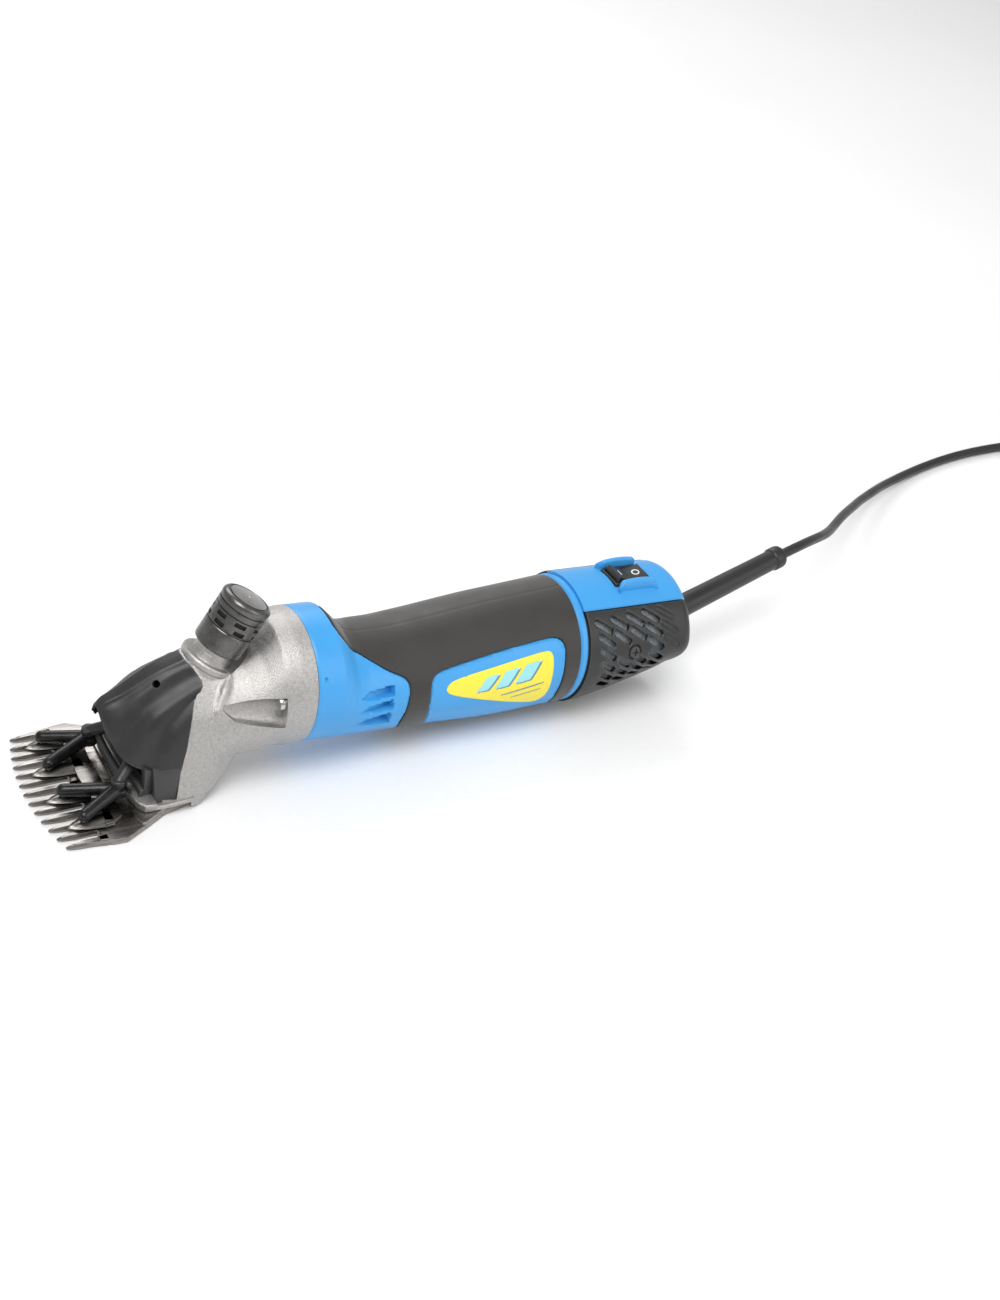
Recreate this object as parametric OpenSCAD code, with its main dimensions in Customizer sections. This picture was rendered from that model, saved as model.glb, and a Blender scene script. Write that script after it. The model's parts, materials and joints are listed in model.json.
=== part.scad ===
// Electric sheep shears: mains motor body, cast gear head, comb and cutter.
// +Z up, comb towards -X, cord towards +X. The origin is on the resting surface,
// under the middle of the shears. Millimetres.

/* [Overall] */
// Length from the middle comb tip to the end of the rear cover
body_length = 333; // [330:1:337]
// Downward lean of the motor body towards the cord, degrees
lean = 3; // [2.8:0.1:3.2]
// Height of the motor axis where the head meets the housing
ring_z = 43.2; // [43:0.1:44]
// Distance from the middle comb tip to the head and housing joint
ring_b = 123; // [122:0.5:125]

/* [Comb and cutter] */
// Width between the outer comb tips
comb_width = 76; // [74:1:78]
// Number of comb teeth
comb_teeth = 13; // [13]
// Radius of the arc that the comb tips lie on
comb_tip_radius = 120; // [110:1:140]
// Comb thickness at the teeth
comb_thick = 3; // [2.5:0.1:3.2]
// Gap between comb and cutter faces
cutter_gap = 0.2; // [0.1:0.05:0.3]
// Cutter thickness
cutter_thick = 2.6; // [2:0.1:3]

/* [Motor body] */
// Outside radius of the housing and grip
body_r = 32; // [31.5:0.1:32.5]
// Outside radius of the rear covers
rear_r = 33; // [32.5:0.1:33.2]
// Thickness of the rubber grip
rubber = 2.5; // [2:0.1:3]
// Half width of the waist behind the head
waist_w = 29.5; // [29:0.1:30]
// Half height of the waist behind the head
waist_h = 25.9; // [25.5:0.1:26.5]

/* [Drive] */
// Gear module
gear_module = 0.6; // [0.6]
// Teeth on the motor pinion
pinion_teeth = 10; // [10]
// Teeth on the drive gear
gear_teeth = 38; // [38]
// Throw of the crank pin
crank_throw = 3.7; // [3:0.1:3.8]

/* [Tension] */
// Radius of the tension knob
knob_r = 12; // [11:0.5:12.5]
// Lean of the tension knob's axis towards the cord, degrees
knob_lean = 28.4; // [27:0.1:29]

/* [Cord] */
// Cord diameter
cord_d = 5.5; // [5:0.1:6]
// Length of the rubber strain relief
boot_length = 98; // [90:1:100]

/* [Hidden] */
$fn = 64;

tip_x = -body_length / 2;
comb_pitch = comb_width / (comb_teeth - 1);
tooth_w = 2.7;
valley_b = 21;
tang_b = 40;
tang_z = 4.5;
comb_rear_b = 66;
cutter_z0 = comb_thick + cutter_gap;
cutter_z1 = cutter_z0 + cutter_thick;
point_y = [-28.3, -9.5, 9.5, 28.3];
yoke_y = 18.9;
yoke_b = 36;
pivot_b = 63.6;
pivot_z = 26;
fork_z0 = 26;
fork_z1 = 35;
fork_rear = 27;
// Underside of the fork's arms at the yokes
arm_z0 = 13.2;
// Joint between nose cover and casing: distance at 5 mm height, and its lean in degrees
seam_b = 59.4;
seam_lean = 7.8;
bed_z = 4.6;
bed_top = 15.5;
// Lower edge of the cover at the joint
skirt_z = 17;
bed_front = 49;
skin_cut = rubber + 0.02;
bore_r = 26.5;
// Stations of the motor body: distance behind the head joint, half width, half height,
// and height of the middle above the motor axis
grip_stations = [[14, body_r, body_r, 0], [28, waist_w, waist_h, -6.3],
    [60, 30, 27, -5.8], [107, 31.6, 31.2, -3.4], [147, body_r, body_r, 0]];
gear_drop = gear_module * (pinion_teeth + gear_teeth) / 2;
gear_clear_r = 12.4;
stripe_s = 143;
screw_angles = [52, 128, 232, 308];
rear_s = 147;
plate_s = [3, 14];
stator_s = [84, 118];
stator_r = 18.5;
armature_r = 11;
// Reach of the lugs that hold the stator in the housing
lug_y = 24.7;
commutator_s = [122.5, 133];
rear_bearing_s = [140, 146];
end_s = (body_length - ring_b) / cos(lean);
switch_s = 182.5;
pin_tip_r = 3;
collar_r = 13.4;
bearing_r = 9.5;
bearing_bore = 3.5;
crank_front_r = 11;
crank_rear_r = 6.5;

// Strain relief: where it leaves the rear hub and its direction
boot_at = [331 + tip_x, 0, 32.6];
boot_pitch = 8;
boot_yaw = 11;
boot_tip = boot_at + boot_length * [cos(boot_pitch) * cos(boot_yaw),
    cos(boot_pitch) * sin(boot_yaw), sin(boot_pitch)];

// Route of the cord from the strain relief down to the surface and into the coil
cord_route = [boot_tip,
    [272, 21.2, 47.3], [284, 25.4, 46.4], [296, 31, 43.6], [308, 38, 39.4], [320, 46, 35],
    [332, 54.8, 31.2], [345, 64.4, 27.6], [360, 75, 23.2], [376, 85.6, 18.8], [392, 95.8, 14.8],
    [408, 105, 11.3], [426, 114.6, 8], [445, 123, 5.3], [465, 130.4, 3.6], [485, 136.2, 2.85],
    [505, 140.4, 2.75], [525, 143.2, 2.75], [545, 144.6, 2.75], [566, 144.9, 2.75],
    [587, 144.7, 2.75], [607, 144.5, 2.75], [627, 144.4, 2.75]];
coil_at = [640, 106];
coil_mean_r = 32.7;
coil_half = 8.5;
coil_height = 22.4;
// Route of the cord from the top of the coil to the plug
tail_route = [[630, 67.6, 19.6], [619, 67.6, 18.8], [608, 67.4, 16.4], [598, 67.2, 14],
    [589, 67, 13], [581, 67, 13]];
plug_at = [581, 67, 0];

module tip_frame() translate([tip_x, 0, 0]) children();
module body_frame() translate([ring_b + tip_x, 0, ring_z]) rotate([0, lean, 0]) children();
module tension_frame() translate([pivot_b + tip_x, 0, pivot_z]) rotate([0, knob_lean, 0]) children();

// Cylinder along X from s0 to s1
module rod(r, s0, s1, y = 0, z = 0)
    translate([s0, y, z]) rotate([0, 90, 0]) cylinder(r = r, h = s1 - s0);

// Tube along X from s0 to s1
module tube(ro, ri, s0, s1, y = 0, z = 0)
    difference() {
        rod(ro, s0, s1, y, z);
        rod(ri, s0 - 1, s1 + 1, y, z);
    }

// Tube along Z from z0 to z1
module ring(ro, ri, z0, z1)
    difference() {
        translate([0, 0, z0]) cylinder(r = ro, h = z1 - z0);
        translate([0, 0, z0 - 1]) cylinder(r = ri, h = z1 - z0 + 2);
    }

// Four thin rods at the corners of a rounded section at distance b, used inside hulls
module corners(b, half_w, z0, z1, r)
    for (side = [-1, 1], z = [z0 + r, z1 - r])
        translate([b, side * (half_w - r), z])
            rotate([0, 90, 0]) cylinder(r = r, h = 0.6, $fn = 32);

// Side profile in the X and Z plane, cut through the whole width
module profile(points)
    rotate([90, 0, 0]) linear_extrude(height = 100, center = true) polygon(points);

// Ball bearing rings share these two modules
module outer_ring(r, s0, s1, y = 0, z = 0) tube(r, r * 0.78, s0, s1, y, z);
module inner_ring(r, bore, s0, s1, y = 0, z = 0) tube(bore + (r - bore) * 0.32, bore, s0, s1, y, z);

// Balls of a bearing, floating between its rings
module balls(r, bore, s_mid, count, y = 0, z = 0) {
    gap_in = bore + (r - bore) * 0.32;
    gap_out = r * 0.78;
    for (i = [0 : count - 1])
        rotate_about_x(i * 360 / count, y, z)
            translate([s_mid, y + (gap_in + gap_out) / 2, z])
                sphere(r = (gap_out - gap_in) / 2 - 0.05, $fn = 24);
}

module rotate_about_x(angle, y = 0, z = 0)
    translate([0, y, z]) rotate([angle, 0, 0]) translate([0, -y, -z]) children();

// Tube swept along a list of points, as one polyhedron
function unit(v) = v / norm(v);
function way(p, i) =
    unit(p[min(i + 1, len(p) - 1)] - p[max(i - 1, 0)]);
function side_of(t) = unit(cross(t, [0, 0, 1]));
function ring_at(c, t, r, n) =
    let (a = side_of(t), b = cross(a, t))
    [for (k = [0 : n - 1]) c + r * (cos(360 * k / n) * a + sin(360 * k / n) * b)];
module sweep(p, r, n) {
    rings = len(p);
    points = [for (i = [0 : rings - 1]) each ring_at(p[i], way(p, i), r, n)];
    sides = [for (i = [0 : rings - 2], k = [0 : n - 1])
        let (a = i * n + k, b = i * n + (k + 1) % n)
        each [[a, b, b + n], [a, b + n, a + n]]];
    caps = [[for (k = [n - 1 : -1 : 0]) k], [for (k = [0 : n - 1]) (rings - 1) * n + k]];
    polyhedron(points, concat(sides, caps), convexity = 6);
}
function helix(r, h, turns, steps) =
    [for (i = [0 : turns * steps]) [r * cos(360 * i / steps), r * sin(360 * i / steps),
        h * i / (turns * steps)]];

// Involute gear outline
function inv(a) = tan(a) - a * PI / 180;
function flank(r, z, rb) =
    90 / z - 0.9 / z * 4 + (inv(20) - inv(r > rb ? acos(rb / r) : 0)) * 180 / PI;
function gear_outline(z, m) =
    let (rp = m * z / 2, rb = rp * cos(20), root = rp - 0.85 * m, tip = rp + 0.8 * m,
        radii = [root, max(rb, root) + 0.02, rp - 0.2 * m, rp + 0.3 * m, tip])
    [for (i = [0 : z - 1]) each concat(
        [for (r = radii) let (a = 360 * i / z - flank(r, z, rb)) r * [cos(a), sin(a)]],
        [for (k = [4 : -1 : 0]) let (r = radii[k], a = 360 * i / z + flank(r, z, rb))
            r * [cos(a), sin(a)]])];
module gear(z, s0, s1, turn)
    translate([s0, 0, 0]) rotate([90, 0, 90])
        linear_extrude(height = s1 - s0) rotate(turn) polygon(gear_outline(z, gear_module));

// ---------- Comb and cutter ----------

function tip_b(y) = comb_tip_radius - sqrt(comb_tip_radius * comb_tip_radius - y * y);

// Outline of one comb tooth, from its rounded tip back into the plate
module tooth_outline(y) {
    b = tip_b(y) + 0.8;
    translate([b, y]) circle(r = 0.8, $fn = 24);
    polygon([[b, y - 0.8], [b + 9, y - tooth_w / 2], [valley_b + 1, y - tooth_w / 2],
        [valley_b + 1, y + tooth_w / 2], [b + 9, y + tooth_w / 2], [b, y + 0.8]]);
}

module comb_outline() {
    edge = comb_width / 2;
    for (k = [0 : comb_teeth - 1]) tooth_outline((k - (comb_teeth - 1) / 2) * comb_pitch);
    for (side = [-1, 1])
        polygon([[tip_b(edge) + 1, side * edge], [valley_b, side * (edge + 3)],
            [33, side * 41.4], [33, side * 30], [valley_b, side * (edge - 1)]]);
    polygon([[valley_b, -40.5], [33, -41.4], [55, -29.5], [comb_rear_b, -27],
        [comb_rear_b, 27], [55, 29.5], [33, 41.4], [valley_b, 40.5]]);
}

module comb()
    color("#8d9094") tip_frame() difference() {
        union() {
            linear_extrude(height = comb_thick) comb_outline();
            linear_extrude(height = tang_z)
                polygon([[tang_b, -33], [tang_b + 3, -33.8], [55, -29.5], [comb_rear_b, -27],
                    [comb_rear_b, 27], [55, 29.5], [tang_b + 3, 33.8], [tang_b, 33]]);
        }
        for (side = [-1, 1]) translate([57.5, side * 15, 0]) {
            translate([0, 0, -1]) cylinder(r = 4.6, h = 4);
            translate([0, 0, 2]) cylinder(r = 2.6, h = 4);
        }
    }

module comb_screws()
    color("#5f6266") tip_frame() for (side = [-1, 1]) translate([57.5, side * 15, 0])
        difference() {
            union() {
                translate([0, 0, 0.5]) cylinder(r = 4.3, h = 2.5);
                translate([0, 0, 3]) cylinder(r = 2.5, h = 10);
            }
            translate([-4, -0.6, 0]) cube([8, 1.2, 1.3]);
        }

module cutter_point(y) {
    b = tip_b(y) + 6.5;
    translate([b + 1.1, y]) circle(r = 1.1, $fn = 24);
    polygon([[b + 1.1, y - 1.1], [b + 9, y - 3.9], [27, y - 5.4], [27, y + 5.4],
        [b + 9, y + 3.9], [b + 1.1, y + 1.1]]);
}

module cutter()
    color("#a4a7aa") tip_frame() difference() {
        translate([0, 0, cutter_z0]) linear_extrude(height = cutter_thick) {
            for (y = point_y) cutter_point(y);
            polygon([[25.5, -33.5], [35, -30], [34.2, 0], [35, 30], [25.5, 33.5], [25, 0]]);
        }
        for (y = point_y) translate([tip_b(y) + 14, y, 0]) cylinder(r = 1.5, h = 20);
        for (y = [-21, 21]) translate([30.5, y, 0]) cylinder(r = 1.3, h = 20);
    }

module yoke(side)
    tip_frame() difference() {
        union() {
            for (y = [side * 9.5, side * 28.3]) {
                hull() {
                    translate([yoke_b, side * yoke_y, 9]) cylinder(r = 4.4, h = 4, $fn = 32);
                    translate([tip_b(y) + 14, y, cutter_z1]) cylinder(r = 2.3, h = 3, $fn = 32);
                }
                translate([tip_b(y) + 14, y, cutter_z0 + 0.4])
                    cylinder(r = 1.45, h = cutter_thick + 0.4);
            }
        }
        translate([yoke_b, side * yoke_y, 8]) cylinder(r = 2.4, h = 6);
    }
module yoke_left() color("#2e3033") yoke(1);
module yoke_right() color("#2e3033") yoke(-1);

module yoke_pins()
    color("#77797c") tip_frame() for (side = [-1, 1])
        translate([yoke_b, side * yoke_y, 9.4]) cylinder(r = 2.4, h = 6.6);

module fork()
    color("#38393c") tip_frame() difference() {
        union() {
            intersection() {
                translate([pivot_b, 0, fork_z0]) cylinder(r = fork_rear, h = fork_z1 - fork_z0);
                translate([pivot_b, -8, fork_z0]) cube([fork_rear + 1, 16, fork_z1 - fork_z0]);
            }
            translate([pivot_b, 0, fork_z0 - 2]) cylinder(r = 9, h = fork_z1 - fork_z0 + 2);
            for (side = [-1, 1]) hull() {
                translate([57, side * 3, fork_z0 - 2]) cylinder(r = 5, h = 10, $fn = 32);
                translate([yoke_b, side * yoke_y, arm_z0]) cylinder(r = 4, h = 4.4, $fn = 32);
            }
        }
        translate([80, -4.8, fork_z0 - 1]) cube([20, 9.6, 20]);
        translate([pivot_b, 0, fork_z0 - 3]) cylinder(r = 3.6, h = 6);
        for (side = [-1, 1]) translate([yoke_b, side * yoke_y, 12]) cylinder(r = 2.4, h = 4);
    }

// ---------- Head ----------

// Everything in front of the slanted joint between nose cover and casing
module ahead_of_joint(gap = 0)
    translate([seam_b + gap, 0, 5]) rotate([0, seam_lean, 0])
        translate([-120, -60, -60]) cube([120, 120, 160]);

module centre_post()
    color("#8a8c8f") tip_frame() translate([pivot_b, 0, 0]) {
        translate([0, 0, 8]) cylinder(r = 4, h = 12);
        translate([0, 0, 20]) cylinder(r = 3, h = 6.2);
        translate([0, 0, 26.2]) sphere(r = 2.6);
    }

// Head section at distance b: narrow rounded top, wide flanks, used inside hulls
module head_section(b, top_z, top_r, mid_y, mid_z, low_y, low_z, trim = 0) {
    translate([b, 0, top_z - top_r]) rotate([0, 90, 0])
        cylinder(r = top_r - trim, h = 0.6, $fn = 32);
    for (side = [-1, 1]) {
        translate([b, side * (mid_y - 7), mid_z]) rotate([0, 90, 0])
            cylinder(r = 7 - trim, h = 0.6, $fn = 32);
        translate([b, side * (low_y - 5), low_z + 5]) rotate([0, 90, 0])
            cylinder(r = 5 - trim, h = 0.6, $fn = 32);
    }
}

module casing_shell()
    union() {
        difference() {
            union() {
                hull() {
                    translate([ring_b, 0, ring_z]) rotate([0, lean, 0])
                        translate([-1.6, 0, 0]) rotate([0, 90, 0]) cylinder(r = body_r, h = 0.6);
                    corners(92, 30, 13, 70, 26);
                }
                hull() {
                    corners(92, 30, 13, 70, 26);
                    head_section(60, 65.5, 9, 22.5, 45, 27.5, 10);
                }
            }
            ahead_of_joint(0.1);
        }
        difference() {
            hull() {
                for (side = [-1, 1]) {
                    translate([bed_front + 6, side * 23, bed_z]) cylinder(r = 6, h = 12, $fn = 32);
                    translate([66, side * 22, bed_z]) cylinder(r = 7, h = 20, $fn = 32);
                    translate([82, side * 17, 11]) cylinder(r = 7, h = 16, $fn = 32);
                }
            }
            // The cover's skirts stand on the bed
            intersection() {
                ahead_of_joint(0.1);
                translate([0, -60, skirt_z - 0.1]) cube([100, 120, 60]);
            }
        }
    }

module head_casing()
    color("#c3c4c2") difference() {
        union() {
            tip_frame() casing_shell();
            tension_frame() translate([0, 0, 26]) cylinder(r = 12.5, h = 12);
            body_frame() for (a = screw_angles)
                rotate([a, 0, 0]) rod(3.5, -14, -1, 0, 27);
        }
        tip_frame() translate([bed_front - 6, -21, bed_top]) cube([44, 42, 38]);
        body_frame() {
            translate([-62, -21, -27]) cube([43, 42, 36]);
            difference() {
                rod(27, -12, 5);
                for (a = screw_angles) rotate([a, 0, 0]) rod(4.2, -13, 6, 0, 27);
            }
            rod(crank_front_r, -18.5, -11, 0, -gear_drop);
            rod(8.4, -30, -11, 0, -gear_drop);
            for (a = screw_angles) rotate([a, 0, 0]) rod(1.6, -13, 0, 0, 27.5);
        }
        tension_frame() {
            translate([0, 0, 10]) cylinder(r = 7.5, h = 40);
            translate([0, 0, 40.6]) cylinder(r = knob_r + 1.2, h = 40);
        }
        tip_frame() {
            translate([pivot_b, 0, 7]) cylinder(r = 4, h = 12);
            for (side = [-1, 1]) translate([57.5, side * 15, 0]) cylinder(r = 2.5, h = 13.2);
        }
    }

module nose_cover()
    color("#242527") tip_frame() difference() {
        intersection() {
            union() {
                hull() {
                    head_section(70, 68, 9, 23.5, 46, 27.5, 17);
                    head_section(48, 60, 8, 19, 38, 26, 17);
                }
                hull() {
                    head_section(48, 60, 8, 19, 38, 25, 18);
                    head_section(31, 49.5, 6, 13, 38, 12, 29);
                }
            }
            ahead_of_joint();
        }
        hull() {
            head_section(71, 68, 9, 23.5, 46, 27.5, 0, 2.3);
            head_section(48, 60, 8, 19, 38, 26, 0, 2.3);
        }
        hull() {
            head_section(48.5, 60, 8, 19, 38, 25, 4, 2.3);
            head_section(34, 51, 7.5, 13, 34, 12, 10, 2.3);
        }
        translate([54, -8, 50]) cylinder(r = 1.8, h = 30);
        // Room for the fork's arms to swing
        translate([34, -22.4, 0]) cube([20, 44.8, 28.5]);
    }

module tension_sleeve()
    color("#d9dadb") tension_frame() {
        ring(7.5, 4.4, 24, 57);
        ring(9.3, 7.4, 38, 57);
        ring(collar_r, 7.4, 38.01, 40.5);
    }

module tension_pin()
    color("#8a8c8f") tension_frame() {
        translate([0, 0, 17.5]) cylinder(r = 4.3, h = 46.5);
        translate([0, 0, 64]) cylinder(r = pin_tip_r, h = 4.9);
    }

module tension_spring()
    color("#6d6f72") tension_frame() translate([0, 0, 60.75])
        sweep(helix(6.4, 3, 2, 16), 0.5, 8);

module tension_knob()
    color("#e4e5e6") tension_frame() difference() {
        translate([0, 0, 46.4]) {
            cylinder(r = knob_r - 0.6, h = 24.5);
            for (a = [0 : 15 : 345]) rotate(a) translate([knob_r - 1.3, 0, 1]) cylinder(r = 1.25, h = 9);
            translate([0, 0, 12]) cylinder(r = knob_r, h = 11.5);
            translate([0, 0, 23.4]) cylinder(r = knob_r - 1.4, h = 3.3);
        }
        translate([0, 0, 46]) cylinder(r = 9.7, h = 15);
        translate([0, 0, 46]) cylinder(r = 7.4, h = 18.4);
        translate([0, 0, 64]) cylinder(r = pin_tip_r + 0.05, h = 5);
    }

module casing_gasket()
    color("#3b3b3b") body_frame() difference() {
        tube(body_r - 0.4, 24, -1, 0);
        for (a = screw_angles) rotate([a, 0, 0]) rod(1.6, -3, 2, 0, 27.5);
        rod(gear_clear_r, -2, 1, 0, -gear_drop);
    }

// ---------- Motor body ----------

// One oval slice of the motor body, grown or shrunk all round
module slice(station, grow)
    translate([station[0], 0, station[3]]) rotate([0, 90, 0])
        scale([station[2] + grow, station[1] + grow, 1]) cylinder(r = 1, h = 0.02, $fn = 48);

// The waisted outside of the motor body between two of its stations
module grip_solid(grow, first = 0, last = 3)
    for (k = [first : last]) hull() {
        slice(grip_stations[k], grow);
        slice(grip_stations[k + 1], grow);
    }

// Blue collar behind the head, long on the sides and short on top
collar_profile = [[0, -40], [47, -40], [47.3, 0], [46, 6], [42, 10.5], [32, 15.5],
    [24, 21], [18, 26.5], [14, 31], [14, 40], [0, 40]];
// Recess for the badge on each side of the grip
window_profile = [[63, -24], [61, -12], [61, 2], [64, 10], [70, 13], [124, 20],
    [131, 18.5], [134, 13], [134, -16], [132, -24]];
badge_profile = [[68, 1], [72, 7.5], [121, 15.5], [127, 13], [128, -10], [123, -15],
    [113, -14], [72, -2]];

module motor_housing()
    color("#4fb0e8") body_frame() difference() {
        union() {
            rod(body_r, 0, 14.01);
            grip_solid(-skin_cut);
            intersection() {
                hull() {
                    slice(grip_stations[0], 0);
                    slice(grip_stations[1], 0);
                    slice([48, 30, 26.5, -6], 0);
                }
                profile(collar_profile);
            }
            rod(body_r, stripe_s, rear_s);
        }
        rod(bore_r, -1, 15);
        hull() {
            slice([14.9, bore_r, bore_r, 0], 0);
            slice([29, waist_w - 5.4, waist_h - 5, -6.3], 0);
        }
        hull() {
            slice([28.9, waist_w - 5.4, waist_h - 5, -6.3], 0);
            slice([60, 24.5, 22, -5.8], 0);
        }
        hull() {
            slice([59.9, 24.5, 22, -5.8], 0);
            slice([107, 26.5, 25.8, -3.4], 0);
            slice([136, 26.6, 26.2, -1], 0);
        }
        rod(bearing_r, rear_bearing_s[0], rear_s + 1);
        rod(7.4, 130, 145);
        for (a = [60 : 60 : 300]) rotate([a, 0, 0]) rod(5, 130, rear_s + 1, 0, 18);
        for (a = screw_angles) rotate([a, 0, 0]) rod(1.6, -1, 16, 0, 27.5);
        for (side = [-1, 1], s = [21, 29, 37])
            translate([s, side * 29, -12]) rotate([side * 12, 12, 0]) cube([3, 10, 19], center = true);
    }

module grip_sleeve()
    color("#35373b") body_frame() difference() {
        grip_solid(0);
        grip_solid(-rubber);
        rod(40, stripe_s - 0.1, rear_s + 1);
        profile([for (p = collar_profile) [p[0] + 0.3, p[1]]]);
        difference() {
            profile(window_profile);
            translate([0, -10, -50]) cube([200, 20, 100]);
        }
    }

module badge(side)
    body_frame() intersection() {
        difference() {
            grip_solid(-skin_cut + 0.7, 1, 3);
            grip_solid(-skin_cut + 0.02, 1, 3);
        }
        profile(badge_profile);
        translate([50, side > 0 ? 0 : -50, -40]) cube([100, 50, 80]);
    }
module badge_plate_left() color("#e8c93a") badge(1);
module badge_plate_right() color("#e8c93a") badge(-1);

module bearing_plate()
    color("#b9babb") body_frame() difference() {
        rod(bore_r - 0.1, plate_s[0], plate_s[1]);
        rod(bearing_r, 8, plate_s[1] + 1);
        rod(5, plate_s[0] - 1, 9);
        rod(crank_rear_r, plate_s[0] - 1, 8.4, 0, -gear_drop);
        for (a = screw_angles) rotate([a, 0, 0]) rod(2.6, plate_s[0] - 1, plate_s[1] + 1, 0, 27.5);
        for (a = [0, 90, 270]) rotate([a, 0, 0]) rod(5, plate_s[0] - 1, plate_s[1] + 1, 0, 18);
    }

module head_screws()
    color("#9fa1a3") body_frame() for (a = screw_angles) rotate([a, 0, 0])
        rod(1.6, -12, 15, 0, 27.5);

module stator_core()
    color("#8c8f94") body_frame() difference() {
        union() {
            rod(stator_r, stator_s[0], stator_s[1]);
            translate([stator_s[0], -lug_y, -7.5]) cube([stator_s[1] - stator_s[0], 2 * lug_y, 7]);
        }
        rod(armature_r + 0.6, stator_s[0] - 1, stator_s[1] + 1);
        for (a = [0, 180], y = [-11, 7]) rotate([a, 0, 0])
            translate([stator_s[0] - 1, y, 12]) cube([60, 4, 3.5]);
    }

module stator_windings()
    color("#b5763a") body_frame() for (s = [stator_s[0] - 6, stator_s[1] + 0.1], a = [0, 180])
        rotate([a, 0, 0]) difference() {
            tube(stator_r - 0.9, 13, s, s + 5.9);
            translate([0, -40, -40]) cube([200, 80, 47]);
        }

module brush_holders()
    color("#c9a24a") body_frame() for (side = [-1, 1]) difference() {
        translate([commutator_s[0] + 0.5, side > 0 ? 11.5 : -25.5, -4.3]) cube([9, 14, 8.6]);
        translate([commutator_s[0] + 2, side > 0 ? 10 : -24.5, -2.6]) cube([6, 14.5, 5.2]);
    }

module carbon_brushes()
    color("#2b2b2b") body_frame() for (side = [-1, 1])
        translate([commutator_s[0] + 2.1, side > 0 ? 9.4 : -18.4, -2.5]) cube([5.8, 9, 5]);

module brush_springs()
    color("#9a9c9e") body_frame() for (side = [-1, 1])
        translate([commutator_s[0] + 5, side * 18.85, 0]) rotate([side * -90, 0, 0])
            sweep(helix(1.9, 5, 3, 12), 0.35, 6);

module front_bearing_outer() color("#c0c2c4") body_frame() outer_ring(bearing_r, 8.1, 14);
module rear_bearing_outer() color("#c0c2c4") body_frame()
    outer_ring(bearing_r, rear_bearing_s[0], rear_bearing_s[1]);
module crank_bearing_outers()
    color("#c0c2c4") body_frame() {
        outer_ring(crank_front_r, -18.5, -12, 0, -gear_drop);
        outer_ring(crank_rear_r, 3.1, 8, 0, -gear_drop);
    }
module front_bearing_inner() color("#d0d2d4") body_frame() inner_ring(bearing_r, bearing_bore, 8.1, 14);
module rear_bearing_inner() color("#d0d2d4") body_frame()
    inner_ring(bearing_r, bearing_bore, rear_bearing_s[0], rear_bearing_s[1]);
module crank_bearing_inners()
    color("#d0d2d4") body_frame() {
        inner_ring(crank_front_r, 4, -18.5, -12, 0, -gear_drop);
        inner_ring(crank_rear_r, 2.5, 3.1, 8, 0, -gear_drop);
    }
module motor_balls()
    color("#dfe1e3") body_frame() for (s = [11, 143]) balls(bearing_r, bearing_bore, s, 8);
module crank_balls()
    color("#dfe1e3") body_frame() {
        balls(crank_front_r, 4, -15.3, 8, 0, -gear_drop);
        balls(crank_rear_r, 2.5, 5.5, 7, 0, -gear_drop);
    }

module armature_shaft()
    color("#a9abad") body_frame() {
        rod(bearing_bore, 3.5, 147);
        gear(pinion_teeth, -8.5, 3.6, -90);
    }

module armature_core()
    color("#7f8287") body_frame() difference() {
        rod(armature_r, stator_s[0], stator_s[1]);
        rod(bearing_bore, stator_s[0] - 1, stator_s[1] + 1);
        for (a = [0 : 30 : 330]) rotate([a, 0, 0])
            translate([stator_s[0] - 1, -1.1, armature_r - 3.5]) cube([60, 2.2, 6]);
    }

module armature_windings()
    color("#a8642c") body_frame() {
        tube(9.6, bearing_bore, stator_s[0] - 5, stator_s[0]);
        tube(9.6, bearing_bore, stator_s[1], stator_s[1] + 4);
    }

module commutator()
    color("#b8733a") body_frame() difference() {
        tube(9, bearing_bore, commutator_s[0], commutator_s[1]);
        for (a = [0 : 15 : 345]) rotate([a, 0, 0])
            translate([commutator_s[0] - 1, -0.2, 8]) cube([15, 0.4, 2]);
    }

module cooling_fan()
    color("#303236") body_frame() {
        tube(7, bearing_bore, 58, 74);
        tube(15, 6.9, 72, 74);
        for (a = [0 : 36 : 324]) rotate([a, 0, 0]) translate([61, -0.8, 6.5]) cube([11.1, 1.6, 8]);
    }

module drive_gear()
    color("#9b8d72") body_frame() translate([0, 0, -gear_drop]) difference() {
        gear(gear_teeth, -7, 1.5, 90 + 180 / gear_teeth);
        rod(4, -8, 6);
        for (a = [0 : 60 : 300]) rotate([a, 0, 0]) rod(1.6, -8, 6, 0, 7);
    }

module crank_shaft()
    color("#97999c") body_frame() translate([0, 0, -gear_drop]) {
        rod(4, -20, 2.6);
        rod(2.5, 2.5, 8);
        rod(8, -22.4, -19.6);
        rod(2.2, -30.4, -22.3, crank_throw);
    }

module crank_roller()
    color("#c8c9ca") body_frame() translate([0, 0, -gear_drop]) tube(4.4, 2.2, -30.6, -23.4, crank_throw);

// ---------- Rear ----------

// Outer profile of the rear end, radius against length, with rounded end
module rear_profile(grow)
    polygon(concat([[0, rear_s], [rear_r + grow, rear_s]],
        [for (a = [0 : 10 : 90])
            [rear_r - 15 + (15 + grow) * cos(a), end_s - 16 + (16 + grow) * sin(a)]],
        [[0, end_s + grow]]));
module rear_solid(grow = 0)
    rotate([0, 90, 0]) rotate_extrude() rear_profile(grow);

// Wedge along X between two half angles about the top
module top_wedge(half)
    translate([rear_s - 2, 0, 0]) rotate([90, 0, 90]) linear_extrude(height = 90)
        polygon([[0, 0], [-60 * tan(half), 60], [60 * tan(half), 60]]);

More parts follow.
